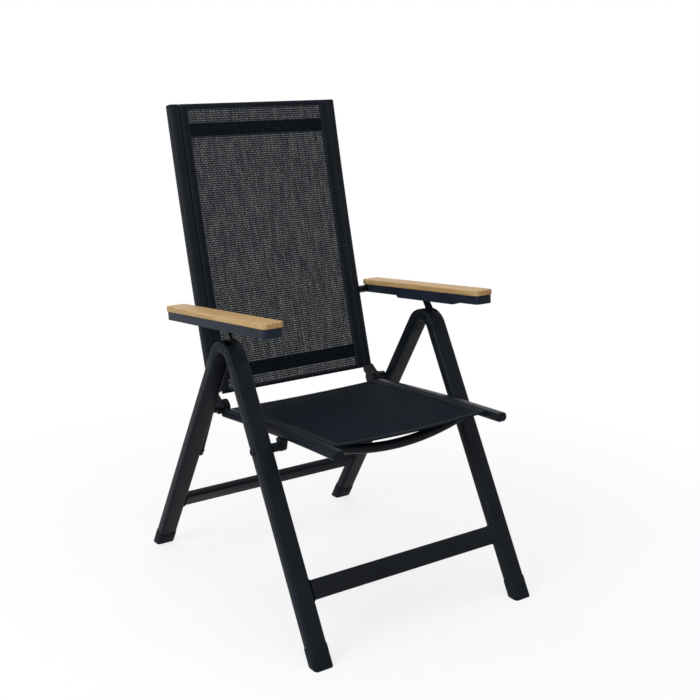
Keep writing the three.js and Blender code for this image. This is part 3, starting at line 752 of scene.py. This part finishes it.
class Bench:
    """Where meshes become pieces of the chair."""

    def piece(
        self,
        bm: Shape,
        name: str,
        finish: Finish,
        body: str,
        stands_for: Sequence[str] = (),
        edge: float = 0.0,
        edge_angle: float = 38.0,
        smooth: float = 36.0,
    ) -> bpy.types.Object:
        """Finishes one piece: mesh, place, shading, material and body.

        Args:
            bm: Its mesh in millimetres, in place. It is freed.
            name: The piece's name.
            finish: Its finish.
            body: The CAD body that it rides on.
            stands_for: CAD nodes that it replaces.
            edge: Width of the rounding on its sharp edges.
            edge_angle: Edges sharper than this, in degrees, get that.
            smooth: Edges sharper than this, in degrees, stay crisp.

        Returns:
            The new object.
        """
        bmesh.ops.scale(bm, vec=(MM,) * 3, verts=bm.verts)
        mesh = mesh_of(bm, name, finish.material())
        mesh.shade_smooth()
        mesh.set_sharp_from_angle(angle=math.radians(smooth))
        made = put(name, mesh)
        if edge:
            rounding = made.modifiers.new("edge", "BEVEL")
            rounding.width = edge * MM
            rounding.segments = 3
            rounding.limit_method = "ANGLE"
            rounding.angle_limit = math.radians(edge_angle)
            rounding.miter_outer = "MITER_ARC"
            rounding.harden_normals = False
        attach(made, body)
        if stands_for:
            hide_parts(*stands_for)
        LOG.info("%s rides on %s", name, body)
        return made

    def solid(self, bm: Shape, *rest: Any, **options: Any) -> bpy.types.Object:
        """Turns a closed mesh's faces outwards, then finishes it as a piece."""
        bmesh.ops.recalc_face_normals(bm, faces=bm.faces)
        return self.piece(bm, *rest, **options)

    def single(self, bm: Shape, node: str, finish: Finish, body: str) -> None:
        """Makes the one piece that replaces a CAD node in the chair's middle."""
        self.solid(bm, f"{node}_look", finish, body, [node])

    def pair(
        self, build: Callable[[], Shape], base: str, finish: Finish, body: str, **options: Any
    ) -> None:
        """Makes a piece for the left side and its mirror for the right.

        Args:
            build: Makes the left piece's mesh.
            base: Name of the nodes that they replace, without the side.
            finish: Their finish.
            body: Their body, where {side} stands for the side.
            options: What piece() takes.
        """
        for side in Side:
            bm = build()
            if side is Side.RIGHT:
                bmesh.ops.scale(bm, vec=(-1, 1, 1), verts=bm.verts)
            node = f"{base}_{side.value}"
            home = body.format(side=side.value)
            self.solid(bm, f"{node}_look", finish, home, [node], **options)

    def copies(self, base: str, finish: Finish, body: str, edge: float) -> None:
        """Makes smooth copies of a pair of CAD nodes, which they replace.

        Args:
            base: Name of the nodes, without the side.
            finish: Their finish.
            body: Their body, where {side} stands for the side.
            edge: Width of the rounding on their sharp edges.
        """
        for side in Side:
            node = f"{base}_{side.value}"
            home = body.format(side=side.value)
            self.piece(copy_of(node), f"{node}_look", finish, home, [node], edge)


# The chair's sub-assemblies


@dataclass
class LegFrames:
    """Two crossed leg frames: legs, feet and stretchers, with the moulded apex.

    Attributes:
        offset: The legs' place across the chair.
        width: A leg tube's size across the chair.
        depth: Its size in the side view.
        front_bar: Stretcher's height above the floor, height along the leg, and depth.
        rear_bar: The same for the rear stretcher.
    """

    offset: float = 271.0
    width: float = 44.0
    depth: float = 26.0
    rounding: float = 7.0
    front_lean: float = 29.5
    rear_lean: float = 30.5
    front_foot: Vector = point(-366.0, 0.0)
    rear_foot: Vector = point(366.0, 0.0)
    apex: Vector = point(-27.0, 593.0)
    cap_length: float = 62.0
    elbow_start: float = 644.0
    foot_wall: float = 1.0
    foot_height: float = 44.0
    foot_lip: float = 1.2
    foot_sole: float = 18.0
    sole_edge: float = 2.2
    front_bar: Triple = (132.0, 42.0, 22.0)
    rear_bar: Triple = (137.0, 36.0, 20.0)
    bar_rounding: float = 6.0
    weld: float = 2.6

    def front_point(self, reach: float) -> Vector:
        """The point of a front leg's middle line so far from the floor."""
        return self.front_foot + lean(self.front_lean) * reach

    def leg(self, foot: Vector, up: Vector, top: float) -> Shape:
        """A leg's flat-oval tube.

        Args:
            foot: Where its middle line meets the floor.
            up: Its direction.
            top: Distance of its top along the line.

        Returns:
            The tube.
        """
        ends = [foot + up * (self.foot_sole + FIT), foot + up * top]
        return bar(in_space(self.offset, ends), ACROSS, self.width, self.depth, self.rounding)

    def foot(self, foot: Vector, up: Vector) -> Shape:
        """A moulded foot: a sleeve round the tube's end, cut level at the floor.

        Args:
            foot: Where the leg's middle line meets the floor.
            up: The leg's direction.

        Returns:
            The foot.
        """
        grow = 2 * (FIT + self.foot_wall)
        lip = self.foot_lip
        heights = [-self.depth, self.foot_height - lip, self.foot_height]
        path = in_space(self.offset, [foot + up * h for h in heights])
        wide, deep = self.width + grow, self.depth + grow
        drawn_in = ((wide - lip) / wide, (deep - lip) / deep)
        bm = bar(path, ACROSS, wide, deep, self.rounding + grow / 2, [(1, 1), (1, 1), drawn_in])
        wall = self.foot_wall - lip / 2 + FIT / 2
        sink(bm, at(0, up), wall, self.foot_height - self.foot_sole)
        whole = bm.verts[:] + bm.edges[:] + bm.faces[:]
        cut = bmesh.ops.bisect_plane(
            bm, geom=whole, plane_co=(0, 0, 0), plane_no=(0, 0, 1), clear_inner=True
        )
        rim = [g for g in cut["geom_cut"] if isinstance(g, bmesh.types.BMEdge)]
        bmesh.ops.holes_fill(bm, edges=rim)
        round_over(bm, rim, self.sole_edge, 3)
        return bm

    def stretcher(self, foot: Vector, up: Vector, sizes: Triple) -> Shape:
        """A flat tube between two legs, with a weld fillet at each end.

        Args:
            foot: Where the legs' middle lines meet the floor.
            up: The legs' direction.
            sizes: Height above the floor, height along the leg, and depth.

        Returns:
            The stretcher.
        """
        level, height, depth = sizes
        middle = foot + up * (level / up.y)
        inner = self.offset - self.width / 2 - FIT
        reach = [inner, inner - self.weld / 2, inner - self.weld]
        flare = [self.weld, self.weld / 3, 0.0]
        path = [at(x, middle) for x in [-x for x in reach] + reach[::-1]]
        scales = [(1 + 2 * g / height, 1 + 2 * g / depth) for g in flare]
        return bar(path, at(0, up), height, depth, self.bar_rounding, scales + scales[::-1])

    def build(self, bench: Bench) -> None:
        """Makes every piece of both leg frames.

        Args:
            bench: Finishes the pieces.
        """
        front_up = lean(self.front_lean)
        fork_start = (self.apex - self.front_foot).dot(front_up) - self.cap_length + self.depth
        for name, foot, up, top, sizes in (
            ("front", self.front_foot, front_up, fork_start, self.front_bar),
            ("rear", self.rear_foot, lean(-self.rear_lean), self.elbow_start, self.rear_bar),
        ):
            body = f"{name}_frame"
            bench.pair(partial(self.leg, foot, up, top), f"{name}_leg", TUBE_COAT, body)
            bench.pair(partial(self.foot, foot, up), f"{name}_foot", NYLON, body)
            bench.single(self.stretcher(foot, up, sizes), f"{name}_stretcher", TUBE_COAT, body)
        bench.copies("front_leg_top", NYLON, "front_frame", 0.9)
        bench.copies("apex_elbow", NYLON, "rear_frame", 0.7)
        bench.copies("lock_bar", ZINC, "rear_frame", 0.6)
        bench.copies("apex_bolt", ZINC, "front_frame", 0.5)
        bench.copies("rack_pin", ZINC, "rear_frame", 0.4)


@dataclass
class RailFrame:
    """Two bowed rails, each with a moulded cap on its open end.

    Attributes:
        body: The CAD body that they ride on.
        start: The rails' end at the hinge.
        end: Their open end.
        bow: Rise of their middle over the chord.
        height: The tube's size across its line in the side view.
        width: Its size across the chair.
        offset: The rails' place across the chair.
        dome: Rounding of the cap's edge.
        tuck: How far a sling reaches past the rails' inner faces.
        cloth_gap: Room between a sling's middle surface and the rails' round edges.
    """

    body: str
    start: Vector
    end: Vector
    bow: float
    height: float
    width: float = 27.0
    rounding: float = 8.0
    offset: float = 214.0
    cap_length: float = 5.0
    dome: float = 3.4
    tuck: float = 1.1
    cloth_gap: float = 0.8

    @property
    def inner(self) -> float:
        """Distance of a rail's inner face from the chair's middle."""
        return self.offset - self.width / 2

    @property
    def cloth_lift(self) -> float:
        """Height of a sling's middle surface over the rails' line, clear of their round edge."""
        edge = math.sqrt(self.rounding**2 - (self.rounding - self.tuck) ** 2)
        return self.height / 2 - self.rounding + edge + FIT + self.cloth_gap

    def line(self) -> list[Vector]:
        """The rails' middle line, from start to end."""
        return bowed(self.end, self.start, self.bow)[::-1]

    def rail(self) -> Shape:
        """The left rail."""
        path = in_space(self.offset, self.line())
        return bar(path, ACROSS, self.width, self.height, self.rounding)

    def cap(self) -> Shape:
        """The left rail's cap, domed at its edge.

        Returns:
            The cap.
        """
        before, end = self.line()[-2:]
        out = (end - before).normalized()
        turns = [math.radians(a) for a in (0, 22, 45, 67, 84)]
        reach = [FIT] + [self.cap_length - self.dome * (1 - math.sin(t)) for t in turns]
        pull = [0.0] + [self.dome * (1 - math.cos(t)) for t in turns]
        scales = [(1 - 2 * p / self.width, 1 - 2 * p / self.height) for p in pull]
        path = in_space(self.offset, [end + out * r for r in reach])
        return bar(path, ACROSS, self.width, self.height, self.rounding, scales)

    def cross_bar(self, middle: Vector, up: Vector, height: float, depth: float, rounding: float) -> Shape:
        """A straight bar between the rails.

        Args:
            middle: Its place in the side view.
            up: The side-view direction of its height.
            height: Its size that way.
            depth: Its size across that.
            rounding: Corner radius, or half the height for a round bar.

        Returns:
            The bar.
        """
        end = self.inner - FIT
        return bar([at(-end, middle), at(end, middle)], at(0, up), height, depth, rounding)

    def build(self, bench: Bench) -> None:
        """Makes the rails and their caps."""
        bench.pair(self.rail, f"{self.body}_rail", TUBE_COAT, self.body)
        bench.pair(self.cap, f"{self.body}_rail_cap", NYLON, self.body)


@dataclass
class SeatFrame(RailFrame):
    """Seat rails, front bow, rear bar, brackets and the bolts they turn on."""

    body: str = "seat"
    start: Vector = point(116.0, 401.0)
    end: Vector = point(-343.0, 437.5)
    bow: float = 4.0
    height: float = 20.0
    bow_setback: float = 95.0
    bow_diameter: float = 22.0
    bow_end_drop: float = 8.5
    bow_drop: float = 33.0
    bow_stub: float = 8.0
    bow_steps: int = 30
    rear_bar_diameter: float = 18.0
    rear_bar_setback: float = 16.0
    rear_bar_drop: float = 9.5
    pivot_reach: float = 458.0
    leg_outer: float = 293.0
    head_radius: float = 9.0
    head_height: float = 4.5
    shank_radius: float = 4.0
    bolt_end: float = 216.5
    socket_radius: float = 3.4
    socket_rise: float = 0.2
    socket_depth: float = 2.6

    @property
    def pivot(self) -> Vector:
        """The side-view point of the bolts, on the front legs' middle line."""
        return LegFrames().front_point(self.pivot_reach)

    def line_at(self, y: float) -> float:
        """Height of the rails' middle line at y.

        Args:
            y: Distance behind the middle of the chair.

        Returns:
            The height.
        """
        share = (self.start.x - y) / (self.start.x - self.end.x)
        chord = self.start.y + (self.end.y - self.start.y) * share
        return chord + 4 * self.bow * share * (1 - share)

    def front_bow(self) -> Shape:
        """The bent tube that dips between the rails.

        Returns:
            The tube.
        """
        y = self.end.x + self.bow_setback
        end = self.inner - FIT
        curve = end - self.bow_stub
        height = self.line_at(y) - self.bow_end_drop
        xs = [curve * (2 * i / self.bow_steps - 1) for i in range(self.bow_steps + 1)]
        dip = [Vector((x, y, height - self.bow_drop * (1 - (x / curve) ** 2))) for x in xs]
        path = [Vector((-end, y, height)), *dip, Vector((end, y, height))]
        size = self.bow_diameter
        return bar(path, Vector((0, 1, 0)), size, size, size / 2)

    def bolt(self) -> Shape:
        """The seat bolt: a shank and a domed head with a hexagon socket.

        Returns:
            The left bolt.
        """
        face = self.leg_outer + FIT
        top = face + self.head_height
        dome = [
            (top - self.head_height * (1 - math.cos(a)), self.head_radius * math.sin(a))
            for a in (math.radians(d) for d in (90, 76, 62, 48, 34))
        ]
        shank, end = self.shank_radius, self.bolt_end
        bm = spun([(end, 0.0), (end, shank), (face, shank), (face, self.head_radius), *dome])
        rim = [e for e in bm.edges if e.is_boundary]
        ring = bmesh.ops.create_circle(bm, segments=6, radius=self.socket_radius)["verts"]
        bmesh.ops.rotate(bm, matrix=Matrix.Rotation(math.pi / 2, 3, "Y"), verts=ring)
        bmesh.ops.translate(bm, vec=(dome[-1][0] + self.socket_rise, 0, 0), verts=ring)
        hexagon = list({e for v in ring for e in v.link_edges})
        bmesh.ops.bridge_loops(bm, edges=rim + hexagon)
        floor = corners_of(bmesh.ops.extrude_edge_only(bm, edges=hexagon)["geom"])
        bmesh.ops.translate(bm, vec=(-self.socket_depth, 0, 0), verts=floor)
        bmesh.ops.contextual_create(bm, geom=floor)
        bmesh.ops.translate(bm, vec=at(0, self.pivot), verts=bm.verts)
        return bm

    def build(self, bench: Bench) -> None:
        """Makes every piece of the seat frame.

        Args:
            bench: Finishes the pieces.
        """
        super().build(bench)
        bench.single(self.front_bow(), "seat_bow", TUBE_COAT, "seat")
        y = self.start.x - self.rear_bar_setback
        middle = Vector((y, self.line_at(y) - self.rear_bar_drop))
        size = self.rear_bar_diameter
        rear = self.cross_bar(middle, Vector((1.0, 0.0)), size, size, size / 2)
        bench.single(rear, "seat_rear_bar", TUBE_COAT, "seat")
        bench.pair(self.bolt, "seat_bolt", ZINC, "front_frame", edge=0.35, edge_angle=45)
        bench.copies("seat_bracket", HINGE_COAT, "seat", 0.8)
        bench.copies("seat_spacer", NYLON, "front_frame", 0.5)
        bench.copies("seat_hinge", HINGE_COAT, "seat", 0.8)


@dataclass
class BackFrame(RailFrame):
    """Back rails, cross bars and the castings and studs of the rear hinge."""

    body: str = "back"
    start: Vector = point(169.0, 436.0)
    end: Vector = point(341.0, 1079.0)
    bow: float = 5.7
    height: float = 25.0
    bar_height: float = 32.0
    bar_depth: float = 14.0
    bar_rounding: float = 6.0
    bar_setback: float = 3.0
    top_bar_level: float = 1027.0
    bottom_bar_level: float = 474.0

    @property
    def up(self) -> Vector:
        """Direction of the rails' chord."""
        return (self.end - self.start).normalized()

    def line_at(self, z: float) -> Vector:
        """The point of the rails' middle line for a height.

        Args:
            z: The height.

        Returns:
            The side-view point.
        """
        share = (z - self.start.y) / (self.end.y - self.start.y)
        chord = self.start + (self.end - self.start) * share
        return chord + behind(self.up) * (4 * self.bow * share * (1 - share))

    def build(self, bench: Bench) -> None:
        """Makes every piece of the back frame and its hinge.

        Args:
            bench: Finishes the pieces.
        """
        super().build(bench)
        sizes = (self.bar_height, self.bar_depth, self.bar_rounding)
        levels = {"back_top_bar": self.top_bar_level, "back_bottom_bar": self.bottom_bar_level}
        for name, level in levels.items():
            middle = self.line_at(level) + behind(self.up) * self.bar_setback
            bench.single(self.cross_bar(middle, self.up, *sizes), name, TUBE_COAT, "back")
        bench.copies("back_hinge", HINGE_COAT, "back", 0.8)
        bench.copies("hinge_knuckle", ZINC, "hinge_knuckles", 0.5)
        bench.copies("stay", ZINC, "stay_{side}_link", 0.6)
        bench.copies("stay_pin", ZINC, "stay_{side}_link", 0.5)
        bench.copies("arm_hub", ZINC, "arm_hub_{side}_part", 0.5)


@dataclass
class Sling:
    """A sheet of sling cloth held tight between two rails, hemmed all round.

    Attributes:
        body: The body that it rides on, and whose rails hold it.
        half: Half its width.
        length: Its length along the rails.
        surface: The point of its middle surface for a distance across and along.
        outward: The surface's rough normal, on the sitter's side.
        hems: Width of the side hems, and of the hems at start and end.
        finish: The cloth's finish.
    """

    body: str
    half: float
    length: float
    surface: Callable[[float, float], Vector]
    outward: Vector
    hems: Triple
    finish: Finish
    thickness: float = 1.3
    hem_thickness: float = 0.7
    cell: float = 12.0
    hem_cell: float = 9.0
    hem_gap: float = 0.05
    seam_inset: float = 2.5
    edge_inset: float = 3.0
    row_end: float = 2.0
    stitch_pitch: float = 5.5
    stitch_lift: float = 0.15
    stitch: Triple = (2.0, 0.65, 0.5)

    def patch(self, across: Pair, along: Pair, lift: float, pitch: float) -> Shape:
        """A grid that follows the sling over part of its width and length.

        Args:
            across: First and last distance from the middle.
            along: First and last distance along the rails.
            lift: Height over the middle surface.
            pitch: Size of the grid's cells.

        Returns:
            The grid, with UVs in millimetres.
        """
        bm = bmesh.new()
        layer = bm.loops.layers.uv.new("UVMap")
        columns, rows = (max(1, round((b - a) / pitch)) for a, b in (across, along))
        made = bmesh.ops.create_grid(bm, x_segments=columns, y_segments=rows, size=0.5, calc_uvs=True)
        for vert in made["verts"]:
            s = across[0] + (vert.co.x + 0.5) * (across[1] - across[0])
            t = along[0] + (vert.co.y + 0.5) * (along[1] - along[0])
            for loop in vert.link_loops:
                loop[layer].uv = (s + self.half, t)
            vert.co = self.surface(s, t) + self.outward * lift
        bmesh.ops.recalc_face_normals(bm, faces=bm.faces)
        face = next(iter(bm.faces))
        face.normal_update()
        if face.normal.dot(self.outward) < 0:
            bmesh.ops.reverse_faces(bm, faces=bm.faces)
        return bm

    def hem(self) -> Shape:
        """The folded and sewn borders, on both faces of the cloth.

        Returns:
            The borders' middle surfaces.
        """
        side, first, last = self.hems
        half, end = self.half, self.length
        lift = self.thickness / 2 + self.hem_thickness / 2 + self.hem_gap
        strips = (
            ((-half, side - half), (0, end)),
            ((half - side, half), (0, end)),
            ((side - half, half - side), (0, first)),
            ((side - half, half - side), (end - last, end)),
        )
        return merged(
            *(self.patch(*strip, face * lift, self.hem_cell) for face in (1, -1) for strip in strips)
        )

    def stitches(self) -> Shape:
        """Rows of lockstitch along the hems, on the sitter's side.

        Returns:
            The stitches.
        """
        side, first, last = self.hems
        lift = self.thickness / 2 + self.hem_thickness + self.stitch_lift
        bm = bmesh.new()
        rows: list[tuple[Pair, Pair]] = []
        for sign in (1, -1):
            for inset in (self.edge_inset, side - self.seam_inset):
                x = sign * (self.half - inset)
                rows.append(((x, self.row_end), (x, self.length - self.row_end)))
        for t in (first - self.seam_inset, self.length - last + self.seam_inset):
            rows.append(((side - self.half, t), (self.half - side, t)))
        for (s0, t0), (s1, t1) in rows:
            run, climb = s1 - s0, t1 - t0
            count = int(math.hypot(run, climb) / self.stitch_pitch)
            for i in range(count):
                share = (i + 0.5) / count
                s, t = s0 + run * share, t0 + climb * share
                here, ahead = (
                    self.surface(s + run * step, t + climb * step) + self.outward * lift
                    for step in (0.0, 0.002)
                )
                heading = (ahead - here).normalized()
                across = self.outward.cross(heading).normalized()
                basis = Matrix((heading, across, self.outward)).transposed().to_4x4()
                spot = Matrix.Translation(here) @ basis @ Matrix.Diagonal((*self.stitch, 1))
                bmesh.ops.create_icosphere(bm, subdivisions=1, radius=1.0, matrix=spot)
        return bm

    def build(self, bench: Bench) -> None:
        """Args:
            bench: Finishes the pieces.
        """
        node = f"{self.body}_sling"
        whole = self.patch((-self.half, self.half), (0, self.length), 0.0, self.cell)
        cloth = bench.piece(whole, f"{node}_cloth", self.finish, self.body, [node], smooth=180)
        hem = bench.piece(self.hem(), f"{node}_hem", HEM, self.body, smooth=180)
        thread = bench.solid(self.stitches(), f"{node}_stitches", THREAD, self.body, smooth=180)
        for sheet, thickness in ((cloth, self.thickness), (hem, self.hem_thickness)):
            wall = sheet.modifiers.new("thickness", "SOLIDIFY")
            wall.thickness = thickness * MM
            wall.offset = 0.0
            wall.use_even_offset = True
        LOG.info("%s: cut %.0f x %.0f mm", node, 2 * self.half, self.length)


@dataclass
class Armrests:
    """Wooden slats on metal channels that hide the toothed racks.

    Attributes:
        middle: The left armrest's place across the chair.
        pivot_level: Height of its pivot, which lies on the back rail's line.
        tail: How far its rear end lies behind the pivot.
        rise: Degrees that it rises to the front.
    """

    middle: float = 275.5
    pivot_level: float = 619.7
    tail: float = 15.4
    pivot_drop: float = 9.1
    rise: float = ARM_RISE
    length: float = 449.0
    slat_width: float = 49.0
    slat_thickness: float = 12.2
    slat_edge: float = 2.6
    corner: float = 9.5
    channel_corner: float = 9.0
    channel_width: float = 45.0
    channel_height: float = 19.5
    inset: float = 1.5
    wall: float = 2.2
    skirt_inset: float = 0.02
    skirt_depth: float = 5.5
    skirt_setback: float = 141.0
    skirt_length: float = 244.0
    skirt_step: float = 7.0
    skirt_fade: float = 26.0

    @property
    def pivot(self) -> Vector:
        """The side-view point of the armrests' pivots."""
        return BackFrame().line_at(self.pivot_level)

    def level_block(self, width: float, inset: float, corner: float, bottom: float, top: float) -> Shape:
        """A level block with round corners in plan, which runs forwards from the origin.

        Args:
            width: Across.
            inset: How far its ends stay inside the armrest's.
            corner: Plan corner radius.
            bottom: Height of its underside.
            top: Height of its top.

        Returns:
            The new mesh.
        """
        path = [Vector((0, -self.length / 2, z)) for z in (bottom, top)]
        return bar(path, ACROSS, width, self.length - 2 * inset, corner, segments=8)

    def placed(self, bm: Shape) -> Shape:
        """Turns and moves a level mesh to the left armrest's place.

        Args:
            bm: The mesh.

        Returns:
            The same mesh.
        """
        turn = Matrix.Rotation(math.radians(-self.rise), 4, "X")
        spot = at(self.middle, self.pivot + Vector((self.tail, self.pivot_drop)))
        bmesh.ops.transform(bm, matrix=Matrix.Translation(spot) @ turn, verts=bm.verts)
        return bm

    def slat(self) -> Shape:
        """The slat, with every long edge rounded over.

        Returns:
            The left slat.
        """
        bm = self.level_block(self.slat_width, 0, self.corner, 0, self.slat_thickness)
        for level, radius in ((0.0, self.slat_edge / 2), (self.slat_thickness, self.slat_edge)):
            rim = [e for e in bm.edges if all(abs(v.co.z - level) < 0.01 for v in e.verts)]
            round_over(bm, rim, radius, 4)
        return self.placed(bm)

    def channel(self) -> Shape:
        """The channel: a tray turned over, with a deeper skirt on its inner wall.

        Returns:
            The left channel.
        """
        low = -FIT - self.channel_height
        tray = self.level_block(self.channel_width, self.inset, self.channel_corner, low, -FIT)
        sink(tray, Vector((0, 0, -1)), self.wall, self.channel_height - self.wall)
        near, top, foot = -self.skirt_setback, low + self.wall, low - self.skirt_depth
        far = near - self.skirt_length
        slopes = [(near - self.skirt_step, foot), (far + self.skirt_fade, foot)]
        outline = [(near, top), (near, low), *slopes, (far, low), (far, top)]
        inner = self.skirt_inset - self.channel_width / 2
        skirt = bmesh.new()
        face = skirt.faces.new([skirt.verts.new((inner, y, z)) for y, z in outline])
        made = bmesh.ops.extrude_face_region(skirt, geom=[face])["geom"]
        thick = self.wall - 2 * self.skirt_inset
        bmesh.ops.translate(skirt, vec=(thick, 0, 0), verts=corners_of(made))
        bmesh.ops.recalc_face_normals(skirt, faces=skirt.faces)
        return self.placed(merged(tray, skirt))

    def build(self, bench: Bench) -> None:
        """Makes slats, channels and racks.

        Args:
            bench: Finishes the pieces.
        """
        bench.pair(self.slat, "armrest_slat", ACACIA, "armrest_{side}", smooth=40)
        bench.pair(self.channel, "armrest_channel", CHANNEL_COAT, "armrest_{side}", edge=0.7)
        bench.copies("armrest_rack", ZINC, "armrest_{side}", 0.4)


@dataclass
class Lamp:
    """A soft square lamp that shines at the chair's middle."""

    name: str
    spot: Triple
    size: float
    power: float
    tint: Triple = (1.0, 1.0, 1.0)
    aim: Triple = (0.0, 0.0, 0.5)

    def build(self) -> None:
        """Adds the lamp to the scene."""
        data = bpy.data.lights.new(self.name, "AREA")
        data.shape = "SQUARE"
        data.size = self.size
        data.energy = self.power
        data.color = self.tint
        made = put(self.name, data)
        made.location = self.spot
        heading = Vector(self.aim) - Vector(self.spot)
        made.rotation_euler = heading.to_track_quat("-Z", "Y").to_euler()


@dataclass
class Studio:
    """A white studio: pale floor, soft lamps, white surroundings and the camera.

    Attributes:
        floor_size: Side of the floor, in metres.
        ambient: Strength at which the surroundings light the chair.
        bounce: Share of the floor's colour that lights the chair.
        glow: How white the floor is made where it is seen, near the chair and far from it.
        fade: Distances from the middle, in metres, between which that changes.
    """

    floor_size: float = 30.0
    ambient: float = 0.3
    bounce: float = 0.45
    glow: Pair = (0.78, 1.0)
    fade: Pair = (0.6, 1.4)
    lamps: tuple[Lamp, ...] = (
        Lamp("key", (-3.0, -0.6, 1.9), 2.0, 88.0, (0.85, 0.93, 1.0)),
        Lamp("front", (-0.6, -3.4, 2.6), 2.4, 20.0),
        Lamp("top", (0.2, 0.4, 3.6), 2.6, 42.0),
        Lamp("rear", (1.6, 2.8, 2.0), 2.2, 12.0),
    )
    lens: float = 58.834
    camera_spot: Triple = (-1.402887, -2.106096, 1.232877)
    camera_right: Triple = (0.823571, -0.567205, 0.003179)
    camera_up: Triple = (0.146472, 0.218082, 0.964876)

    def seen(self, add: Adder) -> Socket:
        """Tells rays that show the studio, 1, from rays that light the chair, 0.

        Rays from the camera, mirrored rays and rays through a piece show it.

        Args:
            add: Adds a node to the material's or world's tree.

        Returns:
            The output that carries it.
        """
        rays = add("LightPath").node.outputs
        shown = rays["Is Camera Ray"]
        for kind in ("Is Glossy Ray", "Is Transmission Ray"):
            shown = add("Math", {0: shown, 1: rays[kind]}, operation="MAXIMUM")
        return shown

    def surroundings(self) -> None:
        """Sets the world: white where it is seen, a plain level where it lights."""
        world = bpy.data.worlds.new("white_studio")
        world.use_nodes = True
        bpy.context.scene.world = world
        tree = world.node_tree
        add = partial(add_node, tree)
        level = {"Value": self.seen(add), "To Min": self.ambient, "To Max": 1.0}
        strength = add("MapRange", level)
        white = {"Color": linear("#ffffff"), "Strength": strength}
        wire(tree, tree.nodes["Background"], white)

    def paint(self, tree: Tree) -> None:
        """Sets the floor's finish: pale where it is seen, greyer where it lights.

        Args:
            tree: The material's node tree.
        """
        add = partial(add_node, tree)
        where = add("TexCoord", out="Object")
        # A faint mottle, 30 patches to the metre.
        mottle = add("TexNoise", {"Vector": where, "Scale": 30.0})
        pale = add("ValToRGB", {"Fac": mottle}, stops=[(0.3, "#f3f3f3"), (0.7, "#f7f7f7")])
        level = {"Value": self.seen(add), "To Min": self.bounce, "To Max": 1.0}
        shade = {0: pale, 1: add("MapRange", level)}
        lit = tree.nodes["Principled BSDF"]
        colour = add("VectorMath", shade, operation="MULTIPLY")
        wire(tree, lit, {"Base Color": colour, "Roughness": 0.9, "Specular IOR Level": 0.1})
        far = add("VectorMath", {0: where}, "Value", operation="LENGTH")
        near, away = self.fade
        least, most = self.glow
        spread = {"From Min": near, "From Max": away, "To Min": least, "To Max": most}
        whiter = add("MapRange", {"Value": far, **spread})
        share = add("Math", {0: whiter, 1: self.seen(add)}, operation="MULTIPLY")
        glow = add("Emission", {"Color": linear("#ffffff"), "Strength": 1.0})
        mix = add("MixShader", {0: share, 1: lit.outputs[0], 2: glow})
        wire(tree, tree.nodes["Material Output"], {"Surface": mix})

    def floor(self) -> None:
        """Lays the pale floor, which fades to white away from the chair."""
        bm = bmesh.new()
        bmesh.ops.create_grid(bm, x_segments=1, y_segments=1, size=self.floor_size / 2)
        material = bpy.data.materials.new("pale_floor")
        material.use_nodes = True
        self.paint(material.node_tree)
        put("studio_floor", mesh_of(bm, "studio_floor", material))

    def camera(self) -> None:
        """Sets the camera at the photograph's place and angle."""
        data = bpy.data.cameras.new("photo_view")
        data.lens = self.lens
        data.sensor_width = 36.0
        data.sensor_fit = "HORIZONTAL"
        camera = put("photo_view", data)
        right, up = Vector(self.camera_right), Vector(self.camera_up)
        turn = Matrix((right, up, right.cross(up))).transposed().to_4x4()
        camera.matrix_world = Matrix.Translation(self.camera_spot) @ turn
        bpy.context.scene.camera = camera

    def build(self) -> None:
        """Sets up floor, surroundings, lamps and camera."""
        self.floor()
        self.surroundings()
        for lamp in self.lamps:
            lamp.build()
        self.camera()
        bpy.context.scene.view_settings.view_transform = "Standard"
        LOG.info("studio with %d lamps", len(self.lamps))


def dress_nodes() -> None:
    """Gives every CAD node the finish of its slot in the record."""
    for subpart in frame["record"]["subparts"]:
        node = frame["nodes"][subpart["node"]]
        node.data.materials.clear()
        node.data.materials.append(FINISHES[Slot(subpart["material_slot"])].material())


def seat_sling(seat: SeatFrame) -> Sling:
    """The seat's sling, which sags a little more towards its free front edge.

    Args:
        seat: The frame that holds it.

    Returns:
        The sling.
    """
    rear_setback, front_setback = 2.0, 33.0
    rear_sag, front_sag = 3.0, 7.0
    start, end = seat.start.x - rear_setback, seat.end.x + front_setback
    half = seat.inner + seat.tuck

    def surface(s: float, t: float) -> Vector:
        """Point of the seat's cloth, from its rear edge forwards.

        Args:
            s: Distance from the middle of the seat.
            t: Distance from its rear edge.

        Returns:
            The point.
        """
        sag = rear_sag + (front_sag - rear_sag) * t / (start - end)
        y = start - t
        return Vector((s, y, seat.line_at(y) + seat.cloth_lift - sag * (1 - (s / half) ** 2)))

    hems = (17.0, 11.0, 14.0)
    return Sling("seat", half, start - end, surface, Vector((0, 0, 1)), hems, SHADED_SEAT_CLOTH)


def back_sling(back: BackFrame) -> Sling:
    """The back's sling, which is pulled flat between its rails.

    Args:
        back: The frame that holds it.

    Returns:
        The sling.
    """
    low, high = 430.0, 1083.0
    ahead = -behind(back.up)
    length = (back.line_at(high) - back.line_at(low)).length

    def surface(s: float, t: float) -> Vector:
        """Point of the back's cloth, from its bottom edge upwards."""
        z = low + t * (high - low) / length
        return at(s, back.line_at(z) + ahead * back.cloth_lift)

    hems = (20.0, 11.0, 13.0)
    return Sling("back", back.inner + back.tuck, length, surface, at(0, ahead), hems, MESH_CLOTH)


def main() -> None:
    """Builds the studio and the chair, sub-assembly by sub-assembly."""
    logging.basicConfig(level=logging.INFO, format="%(name)s: %(message)s")
    Studio().build()
    dress_nodes()
    bench = Bench()
    seat, back = SeatFrame(), BackFrame()
    for assembly in (LegFrames(), seat, back, seat_sling(seat), back_sling(back), Armrests()):
        assembly.build(bench)


if __name__ == "__main__":
    main()
